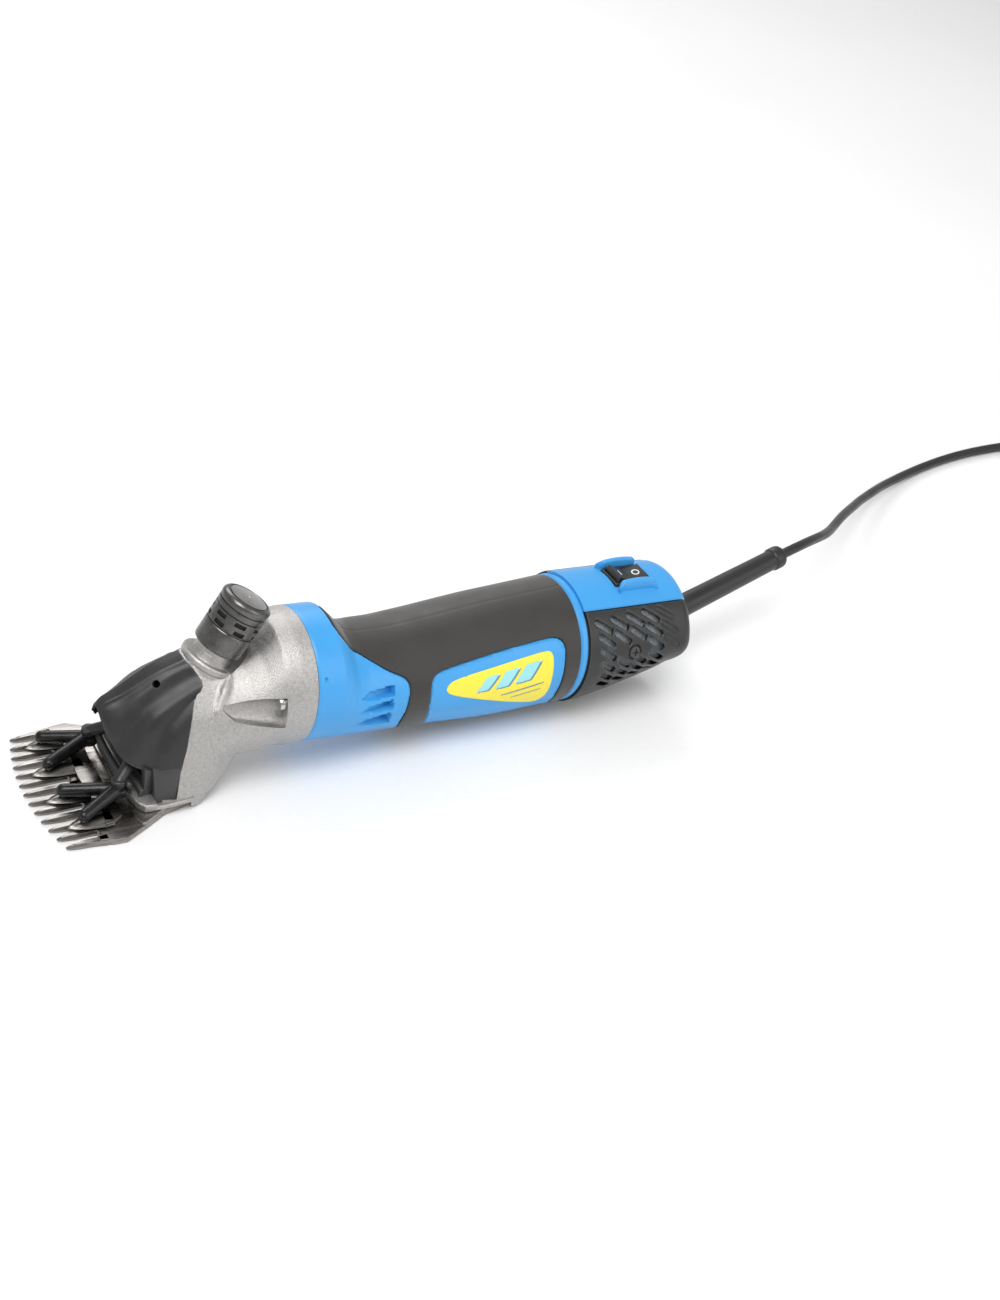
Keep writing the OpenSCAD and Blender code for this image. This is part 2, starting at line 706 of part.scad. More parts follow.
module rear_shell()
    difference() {
        rear_solid();
        rear_solid(-2.4);
        rod(40, rear_s - 1, rear_s + 0.05);
    }

module rear_housing()
    color("#4fb0e8") difference() {
        union() {
            body_frame() {
                intersection() { rear_shell(); top_wedge(34); }
                tube(30.4, 25, rear_s + 0.05, rear_s + 4);
                difference() {
                    rod(14, end_s - 14, end_s);
                    rod(10, end_s - 15, end_s - 4);
                }
                for (a = [90, 270]) rotate([a, 0, 0])
                    translate([rear_s + 0.05, -1.5, 24]) cube([end_s - rear_s - 10, 3, 3.5]);
                translate([rear_s + 0.05, -1.5, -29.5]) cube([end_s - rear_s - 10, 3, 4]);
                translate([end_s - 14, -14, 0]) cube([4, 28, 29.5]);
                intersection() {
                    for (side = [-1, 1]) translate([switch_s - 11, side * 10.5 - 1.6, 26])
                        cube([22, 3.2, 11]);
                    translate([switch_s, 0, 14]) rotate([90, 0, 0]) cylinder(r = 23, h = 40, center = true);
                }
            }
        }
        body_frame() translate([switch_s - 11.2, -7.2, 20]) cube([22.4, 14.4, 20]);
        translate(boot_at) rotate([0, -boot_pitch, boot_yaw]) rod(7.3, -10, 20);
    }

module cover_slots(side)
    for (col = [0 : 3], row = [0 : 5])
        rotate([side * (44 + row * 13), 0, 0])
            translate([159 + col * 12 + row * 0.8, 0, rear_r])
                rotate([0, 0, side * 28]) cube([9, 2.2, 12], center = true);

module filter_cover(side)
    body_frame() difference() {
        intersection() {
            rear_shell();
            translate([rear_s - 1, side > 0 ? 0.15 : -50, -50]) cube([90, 49.85, 100]);
        }
        top_wedge(34.5);
        rod(14.2, end_s - 20, end_s + 2);
        cover_slots(-side);
        rotate([side * -75, 0, 0]) translate([switch_s - 8, 0, 0]) {
            cylinder(r = 1.9, h = 40);
            translate([0, 0, 32.1]) cylinder(r = 3.2, h = 4);
        }
    }
module filter_cover_left() color("#2a2c2f") filter_cover(1);
module filter_cover_right() color("#2a2c2f") filter_cover(-1);

module air_filter(side)
    body_frame() difference() {
        tube(30.2, 28, rear_s + 6, end_s - 18);
        top_wedge(36);
        translate([rear_s, side > 0 ? -50.3 : 0.3, -50]) cube([90, 50, 100]);
        translate([rear_s, -2, -50]) cube([90, 4, 40]);
        rotate([side * -75, 0, 0]) translate([switch_s - 8, 0, 0]) cylinder(r = 4, h = 50);
    }
module air_filter_left() color("#6e7074") air_filter(1);
module air_filter_right() color("#6e7074") air_filter(-1);

module filter_cover_screws()
    color("#4a4c4f") body_frame() for (side = [-1, 1]) rotate([side * -75, 0, 0])
        translate([switch_s - 8, 0, 0]) {
            translate([0, 0, 26]) cylinder(r = 1.6, h = 6.3);
            translate([0, 0, 32.2]) cylinder(r = 3, h = 1.4);
        }

module switch_body()
    color("#1f2022") body_frame() difference() {
        translate([switch_s - 10.5, -7, 12]) cube([21, 14, 17]);
        translate([switch_s, 0, 31.5]) rotate([90, 0, 0]) cylinder(r = 10.2, h = 12.6, center = true);
    }

module switch_rocker()
    color("#17181a") body_frame() translate([switch_s, 0, 31.5]) difference() {
        rotate([90, 0, 0]) linear_extrude(height = 11.6, center = true)
            polygon(concat([[9.6, -1], [9.6, 3.4], [0, 1.6], [-9.6, 5.0]],
                [for (a = [185 : 15 : 350]) 9.6 * [cos(a), sin(a)]]));
    }

module capacitor()
    color("#c7b24b") body_frame() rod(7, 156, 178, 0, -12);

module cord_clamp()
    color("#26272a") body_frame() difference() {
        translate([end_s - 26, -9, -7]) cube([7, 18, 14]);
        rod(cord_d / 2 + 0.1, end_s - 30, end_s - 15);
    }

// ---------- Cord ----------

module strain_relief()
    color("#232427") translate(boot_at) rotate([0, -boot_pitch, boot_yaw]) rotate([0, 90, 0])
        difference() {
            rotate_extrude() polygon([[0, -3], [7.2, -3], [7.2, 1], [6.4, 3],
                [5.7, boot_length - 8], [6.3, boot_length - 7], [6.3, boot_length - 1.5],
                [5, boot_length], [0, boot_length]]);
            translate([0, 0, -4]) cylinder(r = cord_d / 2, h = 20);
        }

module cord_lead() color("#1d1e20") sweep(cord_route, cord_d / 2, 8);
module cord_tail() color("#1d1e20") sweep(tail_route, cord_d / 2, 8);

module cord_coil()
    color("#1d1e20") translate([coil_at[0], coil_at[1], 0]) rotate_extrude()
        translate([coil_mean_r - coil_half, 0]) square([2 * coil_half, coil_height]);

module cord_tie()
    color("#101112") translate([coil_at[0] + coil_mean_r, coil_at[1], coil_height / 2 + 1])
        difference() {
            cube([2 * coil_half + 4.4, 7, coil_height + 2], center = true);
            translate([0, 0, -2.1]) cube([2 * coil_half + 0.8, 9, coil_height + 2.2], center = true);
        }

// Plug body along X, its cord end at plug_at and its face towards -X
module mains_plug()
    color("#1d1e20") translate(plug_at) hull() {
        rod(6.5, -4, 0, 0, 13, $fn = 32);
        for (y = [-6, 6]) rod(7.5, -16, -14, y, 13, $fn = 32);
        for (y = [-9, 9]) rod(9, -34, -32, y, 13, $fn = 32);
    }

module plug_pins()
    color("#c9b37a") translate(plug_at) for (y = [-9.5, 9.5]) rod(2.4, -53, -34, y, 13);

head_casing();
nose_cover();
comb();
comb_screws();
centre_post();
tension_sleeve();
casing_gasket();
motor_housing();
grip_sleeve();
badge_plate_left();
badge_plate_right();
rear_housing();
filter_cover_left();
filter_cover_right();
air_filter_left();
air_filter_right();
filter_cover_screws();
head_screws();
switch_body();
switch_rocker();
bearing_plate();
stator_core();
stator_windings();
brush_holders();
carbon_brushes();
brush_springs();
capacitor();
cord_clamp();
front_bearing_outer();
rear_bearing_outer();
crank_bearing_outers();
armature_shaft();
armature_core();
armature_windings();
commutator();
cooling_fan();
front_bearing_inner();
rear_bearing_inner();
motor_balls();
drive_gear();
crank_shaft();
crank_roller();
crank_bearing_inners();
crank_balls();
fork();
yoke_left();
yoke_right();
yoke_pins();
cutter();
tension_pin();
tension_spring();
tension_knob();
strain_relief();
cord_lead();
cord_tail();
cord_coil();
cord_tie();
mains_plug();
plug_pins();
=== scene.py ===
"""Electric sheep shears: the looks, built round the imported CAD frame.

Lengths and places are in millimetres in the CAD row frame, and become metres in make().
"""
import json
from math import cos, hypot, pi, radians, sin, sqrt, tan

import bmesh
import bpy
import numpy as np
from mathutils import Matrix, Vector


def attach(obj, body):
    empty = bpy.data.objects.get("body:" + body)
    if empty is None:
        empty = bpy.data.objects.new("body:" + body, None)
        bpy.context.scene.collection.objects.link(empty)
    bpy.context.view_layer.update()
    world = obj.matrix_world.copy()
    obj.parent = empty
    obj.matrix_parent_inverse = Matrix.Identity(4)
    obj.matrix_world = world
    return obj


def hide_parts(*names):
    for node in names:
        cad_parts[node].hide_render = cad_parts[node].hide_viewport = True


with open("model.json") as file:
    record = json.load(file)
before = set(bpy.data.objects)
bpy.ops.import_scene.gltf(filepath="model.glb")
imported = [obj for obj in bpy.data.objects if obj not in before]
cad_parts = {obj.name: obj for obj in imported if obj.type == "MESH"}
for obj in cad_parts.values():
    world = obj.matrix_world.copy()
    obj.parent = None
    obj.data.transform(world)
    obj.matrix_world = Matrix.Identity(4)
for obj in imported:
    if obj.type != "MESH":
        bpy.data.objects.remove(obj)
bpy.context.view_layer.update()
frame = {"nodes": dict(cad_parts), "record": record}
scene = bpy.context.scene
MM = 0.001
FAR = 1e9  # more than any distance here
SIDES = ((1, "right"), (-1, "left"))  # on the body, whose arc is measured towards the right

# ---------- Frames and sizes shared with the CAD ----------

def turned(degrees, axis):
    return Matrix.Rotation(radians(degrees), 4, axis)


TIP_X = -166.5
HEAD = Matrix.Translation((TIP_X, 0, 0))
BODY = Matrix.Translation((-43.5, 0, 43.2)) @ turned(3, "Y")
TENSION = Matrix.Translation((-102.9, 0, 26)) @ turned(28.4, "Y")
ALONG_X = turned(90, "Y")
BOOT_AT, BOOT_LENGTH, BOOT_PITCH, BOOT_YAW = (164.5, 0, 32.6), 98, 8, 11
BOOT = Matrix.Translation(BOOT_AT) @ turned(BOOT_YAW, "Z") @ turned(-BOOT_PITCH, "Y")
REAR_R, HUB_R = 33.0, 14.2
STRIPE_S, REAR_S, END_S, SWITCH_S = 143.0, 147.0, 212.0, 182.5
RUBBER = 2.5
COMB_TIP_R, COMB_PITCH, COMB_TEETH = 120.0, 76 / 12, 13
CUTTER_Z0, CUTTER_Z1 = 3.2, 5.8
POINT_Y = (-28.3, -9.5, 9.5, 28.3)
CORD_D, CORD_LENGTH = 5.5, 3.0


def linked(name, data):
    """A new object in the scene over this mesh, curve, light or camera."""
    obj = bpy.data.objects.new(name, data)
    scene.collection.objects.link(obj)
    return obj


# ---------- Camera ----------

CAMERA_AT = (-0.3880, -0.6118, 0.5654)
CAMERA_TURNS = (-37.0, 34.8, 12.5)  # azimuth, elevation and roll, in degrees


def make_camera():
    data = bpy.data.cameras.new("camera")
    data.lens = 52.3
    data.sensor_width = 36
    data.clip_start, data.clip_end = 0.01, 50
    cam = linked("camera", data)
    azimuth, elevation, roll = (radians(v) for v in CAMERA_TURNS)
    back = Vector((sin(azimuth) * cos(elevation), -cos(azimuth) * cos(elevation), sin(elevation)))
    level = Vector((cos(azimuth), sin(azimuth), 0))
    upright = back.cross(level)
    right = level * cos(roll) + upright * sin(roll)
    turn = Matrix((right, back.cross(right), back)).transposed().to_4x4()
    cam.matrix_world = Matrix.Translation(CAMERA_AT) @ turn
    scene.camera = cam


make_camera()


# ---------- Materials ----------

RAMP_SPAN = (0.35, 0.62)    # noise values where the colour goes from second to first
GLOSS_NOISE = (0.3, 0.7)    # noise values where the roughness goes from low to high
GLOSS_SPREAD = 0.08         # how far the roughness strays each way
WORN_EDGE = (0.52, 0.6)     # pointiness where the wear begins and where it is full


def node_material(name, colour, metallic=0.0, roughness=0.5, second=None, patch=60.0,
                  grain=1500.0, bump=0.1, depth=0.0002, stretch=(1, 1, 1), sheen=0.0, wear=None):
    """A Principled material with mottled colour, uneven gloss and a fine surface grain."""
    mat = bpy.data.materials.new(name)
    mat.use_nodes = True
    tree = mat.node_tree
    link = tree.links.new
    shader = tree.nodes["Principled BSDF"]
    shader.inputs["Metallic"].default_value = metallic
    shader.inputs["Sheen Weight"].default_value = sheen

    def add(kind, **values):
        node = tree.nodes.new("ShaderNode" + kind)
        for key, value in values.items():
            node.inputs[key.replace("_", " ")].default_value = value
        return node

    def half_of(source, operation):
        node = add("Math")
        node.operation = operation
        node.inputs[1].default_value = 0.5
        link(source.outputs["Fac"], node.inputs[0])
        return node

    mapping = add("Mapping", Scale=stretch)
    link(add("TexCoord").outputs["Object"], mapping.inputs["Vector"])
    coarse = add("TexNoise", Scale=patch, Detail=4.0, Roughness=0.6)
    fine = add("TexNoise", Scale=grain, Detail=2.0, Roughness=0.5)
    for noise in (coarse, fine):
        link(mapping.outputs["Vector"], noise.inputs["Vector"])
    blend = half_of(coarse, "MULTIPLY_ADD")
    link(half_of(fine, "MULTIPLY").outputs[0], blend.inputs[2])
    ramp = add("ValToRGB")
    colours = (second or tuple(c * 0.82 for c in colour), colour)
    for element, position, value in zip(ramp.color_ramp.elements, RAMP_SPAN, colours):
        element.position, element.color = position, (*value, 1)
    link(blend.outputs[0], ramp.inputs["Fac"])
    base = ramp.outputs["Color"]
    if wear:  # brighter on convex edges, where hands and tools rub
        edge = add("MapRange", From_Min=WORN_EDGE[0], From_Max=WORN_EDGE[1])
        link(add("NewGeometry").outputs["Pointiness"], edge.inputs["Value"])
        mix = add("Mix")
        mix.data_type = "RGBA"
        mix.inputs["B"].default_value = (*wear, 1)
        link(edge.outputs[0], mix.inputs["Factor"])
        link(base, mix.inputs["A"])
        base = mix.outputs["Result"]
    link(base, shader.inputs["Base Color"])
    gloss = add("MapRange", From_Min=GLOSS_NOISE[0], From_Max=GLOSS_NOISE[1],
                To_Min=max(0.02, roughness - GLOSS_SPREAD),
                To_Max=min(1.0, roughness + GLOSS_SPREAD))
    link(coarse.outputs["Fac"], gloss.inputs["Value"])
    link(gloss.outputs[0], shader.inputs["Roughness"])
    bumps = add("Bump", Strength=bump, Distance=depth)
    link(fine.outputs["Fac"], bumps.inputs["Height"])
    link(bumps.outputs["Normal"], shader.inputs["Normal"])
    return mat


def grey(value, warm=0.0):
    return (value * (1 + warm), value, value * (1 - warm))


MATERIALS = {
    "cast_head": node_material("sand_cast_aluminium", grey(0.50, 0.03), 0.9, 0.40, grey(0.31, 0.03),
        patch=900, grain=2200, bump=0.6, depth=0.0004),
    "black_plastic": node_material("black_plastic", grey(0.017), 0, 0.42, grey(0.012), grain=2600,
        bump=0.25, wear=grey(0.05)),
    "blue_plastic": node_material("blue_plastic", (0.045, 0.315, 0.69), 0, 0.38,
        (0.04, 0.295, 0.65), grain=2600, bump=0.15),
    "grip_rubber": node_material("grip_rubber", grey(0.023, 0.14), 0, 0.5, grey(0.017, 0.14),
        grain=2200, bump=0.35, sheen=0.15),
    "comb_steel": node_material("ground_steel", grey(0.30, 0.06), 1, 0.30, grey(0.17, 0.06),
        patch=240, grain=900, bump=0.25, stretch=(0.12, 1, 1)),
    "cutter_steel": node_material("cutter_steel", grey(0.22, 0.05), 1, 0.28, grey(0.11, 0.08),
        patch=260, grain=1200, bump=0.25, stretch=(0.15, 1, 1)),
    "black_steel": node_material("oiled_black_steel", grey(0.035), 0.75, 0.26, grey(0.018),
        patch=200, grain=1300, bump=0.2, wear=grey(0.12)),
    "gunmetal": node_material("gunmetal", grey(0.16, 0.02), 1, 0.3, grey(0.10, 0.02), patch=200,
        grain=1400, bump=0.15),
    "chrome": node_material("polished_steel", grey(0.62), 1, 0.16, grey(0.5), grain=1800,
        bump=0.08),
    "brushed": node_material("brushed_steel", grey(0.42, 0.02), 1, 0.34, grey(0.30, 0.02),
        patch=300, grain=1500, bump=0.3),
    "steel": node_material("turned_steel", grey(0.5, 0.02), 1, 0.3, grey(0.38, 0.02), patch=200,
        grain=1500, bump=0.2),
    # Painted shade: near-black floors for the knob's slots, standing in for the shadow that the
    # shallow recesses cast too little of
    "slot_painted_shade": node_material("slot_painted_shade", grey(0.006), 0, 0.85, grey(0.003), grain=1500,
        bump=0.2),
    "gasket": node_material("gasket", grey(0.06), 0, 0.8, grain=1800, bump=0.3),
    "label": node_material("yellow_label", (0.88, 0.74, 0.055), 0, 0.35, (0.84, 0.70, 0.05),
        grain=2600, bump=0.05),
    "label_bar": node_material("pale_label_print", (0.32, 0.70, 0.72), 0, 0.4, (0.28, 0.64, 0.68)),
    "label_edge": node_material("dark_label_print", (0.13, 0.25, 0.36), 0, 0.4, (0.10, 0.21, 0.32)),
    "white_mark": node_material("white_mark", grey(0.75), 0, 0.45, grey(0.68)),
    "foam": node_material("filter_mesh", grey(0.30, -0.1), 0, 0.6, grey(0.12, -0.1), patch=300,
        grain=1400, bump=0.8, depth=0.001),
    "copper": node_material("copper_wire", (0.72, 0.30, 0.13), 1, 0.35, (0.5, 0.18, 0.08),
        grain=1600, bump=0.4, stretch=(1, 0.2, 0.2)),
    "laminations": node_material("laminations", grey(0.22), 0.9, 0.45, grey(0.12), grain=1600,
        bump=0.5, stretch=(1, 0.05, 0.05)),
    "brass": node_material("brass", (0.76, 0.55, 0.22), 1, 0.28, (0.62, 0.42, 0.15)),
    "carbon": node_material("carbon", grey(0.03), 0.1, 0.6, grain=1600, bump=0.3),
    "film": node_material("film_capacitor", (0.62, 0.44, 0.08), 0, 0.35),
    "cord": node_material("cord_rubber", grey(0.016), 0, 0.42, grey(0.011), grain=1800, bump=0.2),
}


# ---------- Mesh tools ----------

def mesh_object(name, points, faces):
    mesh = bpy.data.meshes.new(name)
    mesh.from_pydata([tuple(p) for p in points], [], [tuple(int(i) for i in f) for f in faces])
    return linked(name, mesh)


def clean(mesh, weld=0.0, drop_loose=False, outward=True):
    """Joins points closer than weld, drops loose ones and turns the faces outward."""
    bm = bmesh.new()
    bm.from_mesh(mesh)
    if weld:
        bmesh.ops.remove_doubles(bm, verts=bm.verts, dist=weld)
    if drop_loose:
        bmesh.ops.delete(bm, geom=[v for v in bm.verts if not v.link_faces], context="VERTS")
    if outward:
        bmesh.ops.recalc_face_normals(bm, faces=bm.faces)
    bm.to_mesh(mesh)
    bm.free()


def make(name, points, faces, *finish, **options):
    """A finished piece from points in millimetres."""
    obj = mesh_object(name, points, faces)
    finish_mesh(obj, *finish, **options)
    return obj


def finish_mesh(obj, slot, body="root", place=None, nodes=(), material=None, sharp=35.0,
                thickness=0.0, bevel=0.0):
    """Puts a mesh in place, in metres, smooth except at edges sharper than the angle."""
    mesh = obj.data
    clean(mesh, drop_loose=True)
    mesh.transform(Matrix.Scale(MM, 4) @ (place or Matrix()))
    mesh.materials.clear()
    mesh.materials.append(MATERIALS[material or slot])
    mesh.shade_smooth()
    if bevel:
        mod = obj.modifiers.new("edges", "BEVEL")
        mod.width, mod.segments, mod.limit_method = bevel * MM, 2, "ANGLE"
        mod.angle_limit = radians(sharp)
        mod.harden_normals = False
    if thickness:
        mod = obj.modifiers.new("wall", "SOLIDIFY")
        mod.thickness, mod.offset, mod.use_even_offset = thickness * MM, -1, False
    if thickness or bevel:
        apply_modifiers(obj)
    obj.data.set_sharp_from_angle(angle=radians(sharp))
    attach(obj, body)
    if nodes:
        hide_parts(*nodes)


def apply_modifiers(obj):
    depsgraph = bpy.context.evaluated_depsgraph_get()
    depsgraph.update()
    mesh = bpy.data.meshes.new_from_object(obj.evaluated_get(depsgraph))
    obj.modifiers.clear()
    old, obj.data = obj.data, mesh
    bpy.data.meshes.remove(old)


def loft(sections, closed=True, ends=True):
    """Points and faces of a skin over sections of equal length."""
    count = len(sections[0])
    points = [p for section in sections for p in section]
    faces = []
    span = count if closed else count - 1
    for i in range(len(sections) - 1):
        for k in range(span):
            a, b = i * count + k, i * count + (k + 1) % count
            faces.append((a, b, b + count, a + count))
    if ends:
        faces.append(tuple(range(count - 1, -1, -1)))
        faces.append(tuple(range((len(sections) - 1) * count, len(sections) * count)))
    return points, faces


def lathe(profile, steps=96, radius=None):
    """Skin of a profile of (height, radius) turned about Z; radius(h, r, angle) may reshape it."""
    sections = []
    for height, r in profile:
        ring = []
        for k in range(steps):
            angle = 2 * pi * k / steps
            value = radius(height, r, angle) if radius else r
            ring.append((value * cos(angle), value * sin(angle), height))
        sections.append(ring)
    return loft(sections)


def merge(*parts):
    points, faces = [], []
    for part_points, part_faces in parts:
        shift = len(points)
        points += [tuple(p) for p in part_points]
        faces += [tuple(i + shift for i in face) for face in part_faces]
    return points, faces


def moved(part, matrix):
    points, faces = part
    return [tuple(matrix @ Vector(p)) for p in points], faces


def capsule(a, b, ra, rb, steps=20, rings=5):
    """Round bar from a to b with domed ends."""
    a, b = Vector(a), Vector(b)
    axis = (b - a).normalized()
    profile = [(-ra * cos(t), ra * sin(t)) for t in np.linspace(0.08, pi / 2, rings)]
    length = (b - a).length
    profile += [(length + rb * sin(t), rb * cos(t))
                for t in np.linspace(0, pi / 2 - 0.08, rings)]
    turn = Vector((0, 0, 1)).rotation_difference(axis).to_matrix().to_4x4()
    return moved(lathe(profile, steps), Matrix.Translation(a) @ turn)


def disc(radius, z0, z1, steps=32, at=(0, 0), edge=0.0):
    profile = [(z0, radius - edge), (z0 + edge, radius), (z1 - edge, radius), (z1, radius - edge)]
    if not edge:
        profile = [(z0, radius), (z1, radius)]
    return moved(lathe(profile, steps), Matrix.Translation((*at, 0)))


def box_part(low, high):
    x, y, z = zip(low, high)
    sections = [[(x[0], y[0], h), (x[1], y[0], h), (x[1], y[1], h), (x[0], y[1], h)] for h in z]
    return loft(sections)


def remeshed(name, part, voxel, rounds):
    """One closed skin over overlapping solids, softened where they meet, in millimetres."""
    obj = mesh_object(name, *part)
    clean(obj.data)
    mod = obj.modifiers.new("remesh", "REMESH")
    mod.mode, mod.voxel_size = "VOXEL", voxel
    mod = obj.modifiers.new("soften", "SMOOTH")
    mod.factor, mod.iterations = 0.5, rounds
    apply_modifiers(obj)
    return obj


def carve(obj, *parts):
    """Cuts each closed part, in the units of obj, out of it."""
    for part in parts:
        tool = mesh_object("tool", *part)
        clean(tool.data)
        mod = obj.modifiers.new("cut", "BOOLEAN")
        mod.operation, mod.object, mod.solver = "DIFFERENCE", tool, "EXACT"
        apply_modifiers(obj)
        bpy.data.objects.remove(tool)


def plate(loops, z0, z1, bevel=0.25):
    """Points and faces of a flat plate from 2D loops, the outline and then its holes."""
    curve = bpy.data.curves.new("plate", "CURVE")
    curve.dimensions, curve.fill_mode = "2D", "BOTH"
    for loop in loops:
        spline = curve.splines.new("POLY")
        spline.points.add(len(loop) - 1)
        for point, (x, y) in zip(spline.points, loop):
            point.co = (x, y, 0, 1)
        spline.use_cyclic_u = True
    curve.extrude, curve.bevel_depth = (z1 - z0) / 2 - bevel, bevel
    curve.bevel_resolution, curve.offset = 2, -bevel
    source = linked("plate", curve)
    bpy.context.view_layer.update()
    mesh = bpy.data.meshes.new_from_object(source.evaluated_get(
        bpy.context.evaluated_depsgraph_get()))
    mesh.transform(Matrix.Translation((0, 0, (z0 + z1) / 2)))
    bpy.data.objects.remove(source)
    clean(mesh, weld=0.001, outward=False)
    part = ([tuple(v.co) for v in mesh.vertices], [tuple(p.vertices) for p in mesh.polygons])
    bpy.data.meshes.remove(mesh)
    return part


def mirrored(half):
    """A loop that is symmetrical about y = 0, from its points on one side."""
    return half + [(x, -y) for x, y in half[::-1] if y]


def circle(x, y, r, steps=28):
    return [(x + r * cos(2 * pi * k / steps), y + r * sin(2 * pi * k / steps))
            for k in range(steps)]


def spline_through(xs, ys, x):
    """Smooth curve through points, without overshoot (monotone cubic), for arrays."""
    xs, ys = np.asarray(xs, float), np.asarray(ys, float)
    step, slope = np.diff(xs), np.diff(ys) / np.diff(xs)
    tangent = np.zeros_like(ys)
    same = slope[:-1] * slope[1:] > 0
    mean = 2 * slope[:-1] * slope[1:] / np.where(same, slope[:-1] + slope[1:], 1)
    tangent[1:-1] = np.where(same, mean, 0)
    tangent[0], tangent[-1] = slope[0], slope[-1]
    k = np.clip(np.searchsorted(xs, x) - 1, 0, len(step) - 1)
    t = np.clip((x - xs[k]) / step[k], 0, 1)
    return ((2 * t ** 3 - 3 * t ** 2 + 1) * ys[k] + (t ** 3 - 2 * t ** 2 + t) * step[k] * tangent[k]
            + (3 * t ** 2 - 2 * t ** 3) * ys[k + 1] + (t ** 3 - t ** 2) * step[k] * tangent[k + 1])


def rounded(loop, rounds=2):
    """Cuts the corners of a closed loop."""
    for _ in range(rounds):
        loop = [tuple((1 - t) * np.array(loop[i]) + t * np.array(loop[(i + 1) % len(loop)]))
                for i in range(len(loop)) for t in (0.25, 0.75)]
    return loop


def distance_to(loop, x, y):
    """Signed distance to a closed loop, negative inside, for arrays x and y."""
    best = np.full(x.shape, FAR)
    inside = np.zeros(x.shape, bool)
    for (ax, ay), (bx, by) in zip(loop, loop[1:] + loop[:1]):
        dx, dy = bx - ax, by - ay
        t = np.clip(((x - ax) * dx + (y - ay) * dy) / (dx * dx + dy * dy + 1e-12), 0, 1)
        best = np.minimum(best, np.hypot(x - ax - t * dx, y - ay - t * dy))
        cross = (ay > y) != (by > y)
        inside ^= cross & (x < ax + (y - ay) * dx / (dy if abs(dy) > 1e-12 else 1e-12))
    return np.where(inside, -best, best)


# ---------- Skins of the motor body, as grids of length and angle ----------

ARC = radians(1) * 30  # millimetres of arc to one degree, on a mean radius of 30


def in_arc(loop):
    return [(s, angle * ARC) for s, angle in loop]


def grip_size(s):
    """Half width, half height and centre height of the motor body at s."""
    at = (0, 13, 17, 24, 32, 45, 60, 107, 147)
    width = spline_through(at, (32, 32, 31.6, 30.2, 29.6, 29.5, 30, 31.6, 32), s)
    height = spline_through(at, (32, 32, 30.6, 27.1, 26, 26.2, 27.2, 31.2, 32), s)
    centre = spline_through(at, (0, 0, -1.6, -5.1, -6.3, -6.3, -5.8, -3.4, 0), s)
    return width, height, centre


def grip_point(s, arc, depth):
    """Points of the motor body in body_frame, depth millimetres in from its outside."""
    angle = arc / ARC * radians(1)
    width, height, centre = grip_size(s)
    return np.stack([s, -(width - depth) * np.sin(angle),
                     centre + (height - depth) * np.cos(angle)], -1)


NUDGE = 0.05       # step for the slopes of a field
SNAP = 0.5         # how near a zero line a vertex snaps to it, in grid steps
KEEP_SLACK = 0.08  # how far outside a kept area a vertex may lie


def skin(name, s_span, arc_span, step, where, depth, slot, point=grip_point, keep=None,
         snaps=(), wrap=False, thickness=2.4, **options):
    """A skin over a grid. Its vertices snap to the zero lines of the snaps fields, it is kept
    where keep(s, arc) is negative, and depth(s, arc) sinks it."""
    s = np.linspace(*s_span, max(2, int(abs(s_span[1] - s_span[0]) / step) + 1))
    count = max(3, int(abs(arc_span[1] - arc_span[0]) / step))
    arc = np.linspace(*arc_span, count + 1)[:-1] if wrap else np.linspace(*arc_span, count + 1)
    s, arc = (a.copy() for a in np.meshgrid(s, arc, indexing="ij"))
    for field in ([keep] if keep else []) + list(snaps):
        value = field(s, arc)
        ds = (field(s + NUDGE, arc) - field(s - NUDGE, arc)) / (2 * NUDGE)
        da = (field(s, arc + NUDGE) - field(s, arc - NUDGE)) / (2 * NUDGE)
        size = np.maximum(ds * ds + da * da, 0.25)
        near = np.abs(value) < SNAP * step
        near[0], near[-1] = False, False
        if not wrap:
            near[:, 0], near[:, -1] = False, False
        s = np.where(near, s - value * ds / size, s)
        arc = np.where(near, arc - value * da / size, arc)
    points = point(s, arc, depth(s, arc)).reshape(-1, 3)
    rows, columns = s.shape
    index = np.arange(rows * columns).reshape(rows, columns)
    right = np.roll(index, -1, 1) if wrap else index[:, 1:]
    left = index if wrap else index[:, :-1]
    quads = np.stack([left[:-1], right[:-1], right[1:], left[1:]], -1).reshape(-1, 4)
    faces = [tuple(q) for q in quads]
    if keep:
        good = (keep(s, arc) < KEEP_SLACK).reshape(-1)
        inside = good[quads]
        faces = [tuple(q) for q in quads[inside.all(1)]]
        for quad, ok in zip(quads[inside.sum(1) == 3], inside[inside.sum(1) == 3]):
            faces.append(tuple(quad[ok]))
    return make(name, points, faces, slot, place=where, thickness=thickness, **options)


def edge_drop(distance, radius):
    """How far a rounded edge sinks at this distance inside it."""
    t = np.clip(radius - distance, 0, radius)
    return radius - np.sqrt(np.maximum(radius * radius - t * t, 0))


def groove(distance, width, depth):
    return depth * np.clip(1 - np.abs(distance) / width, 0, 1)


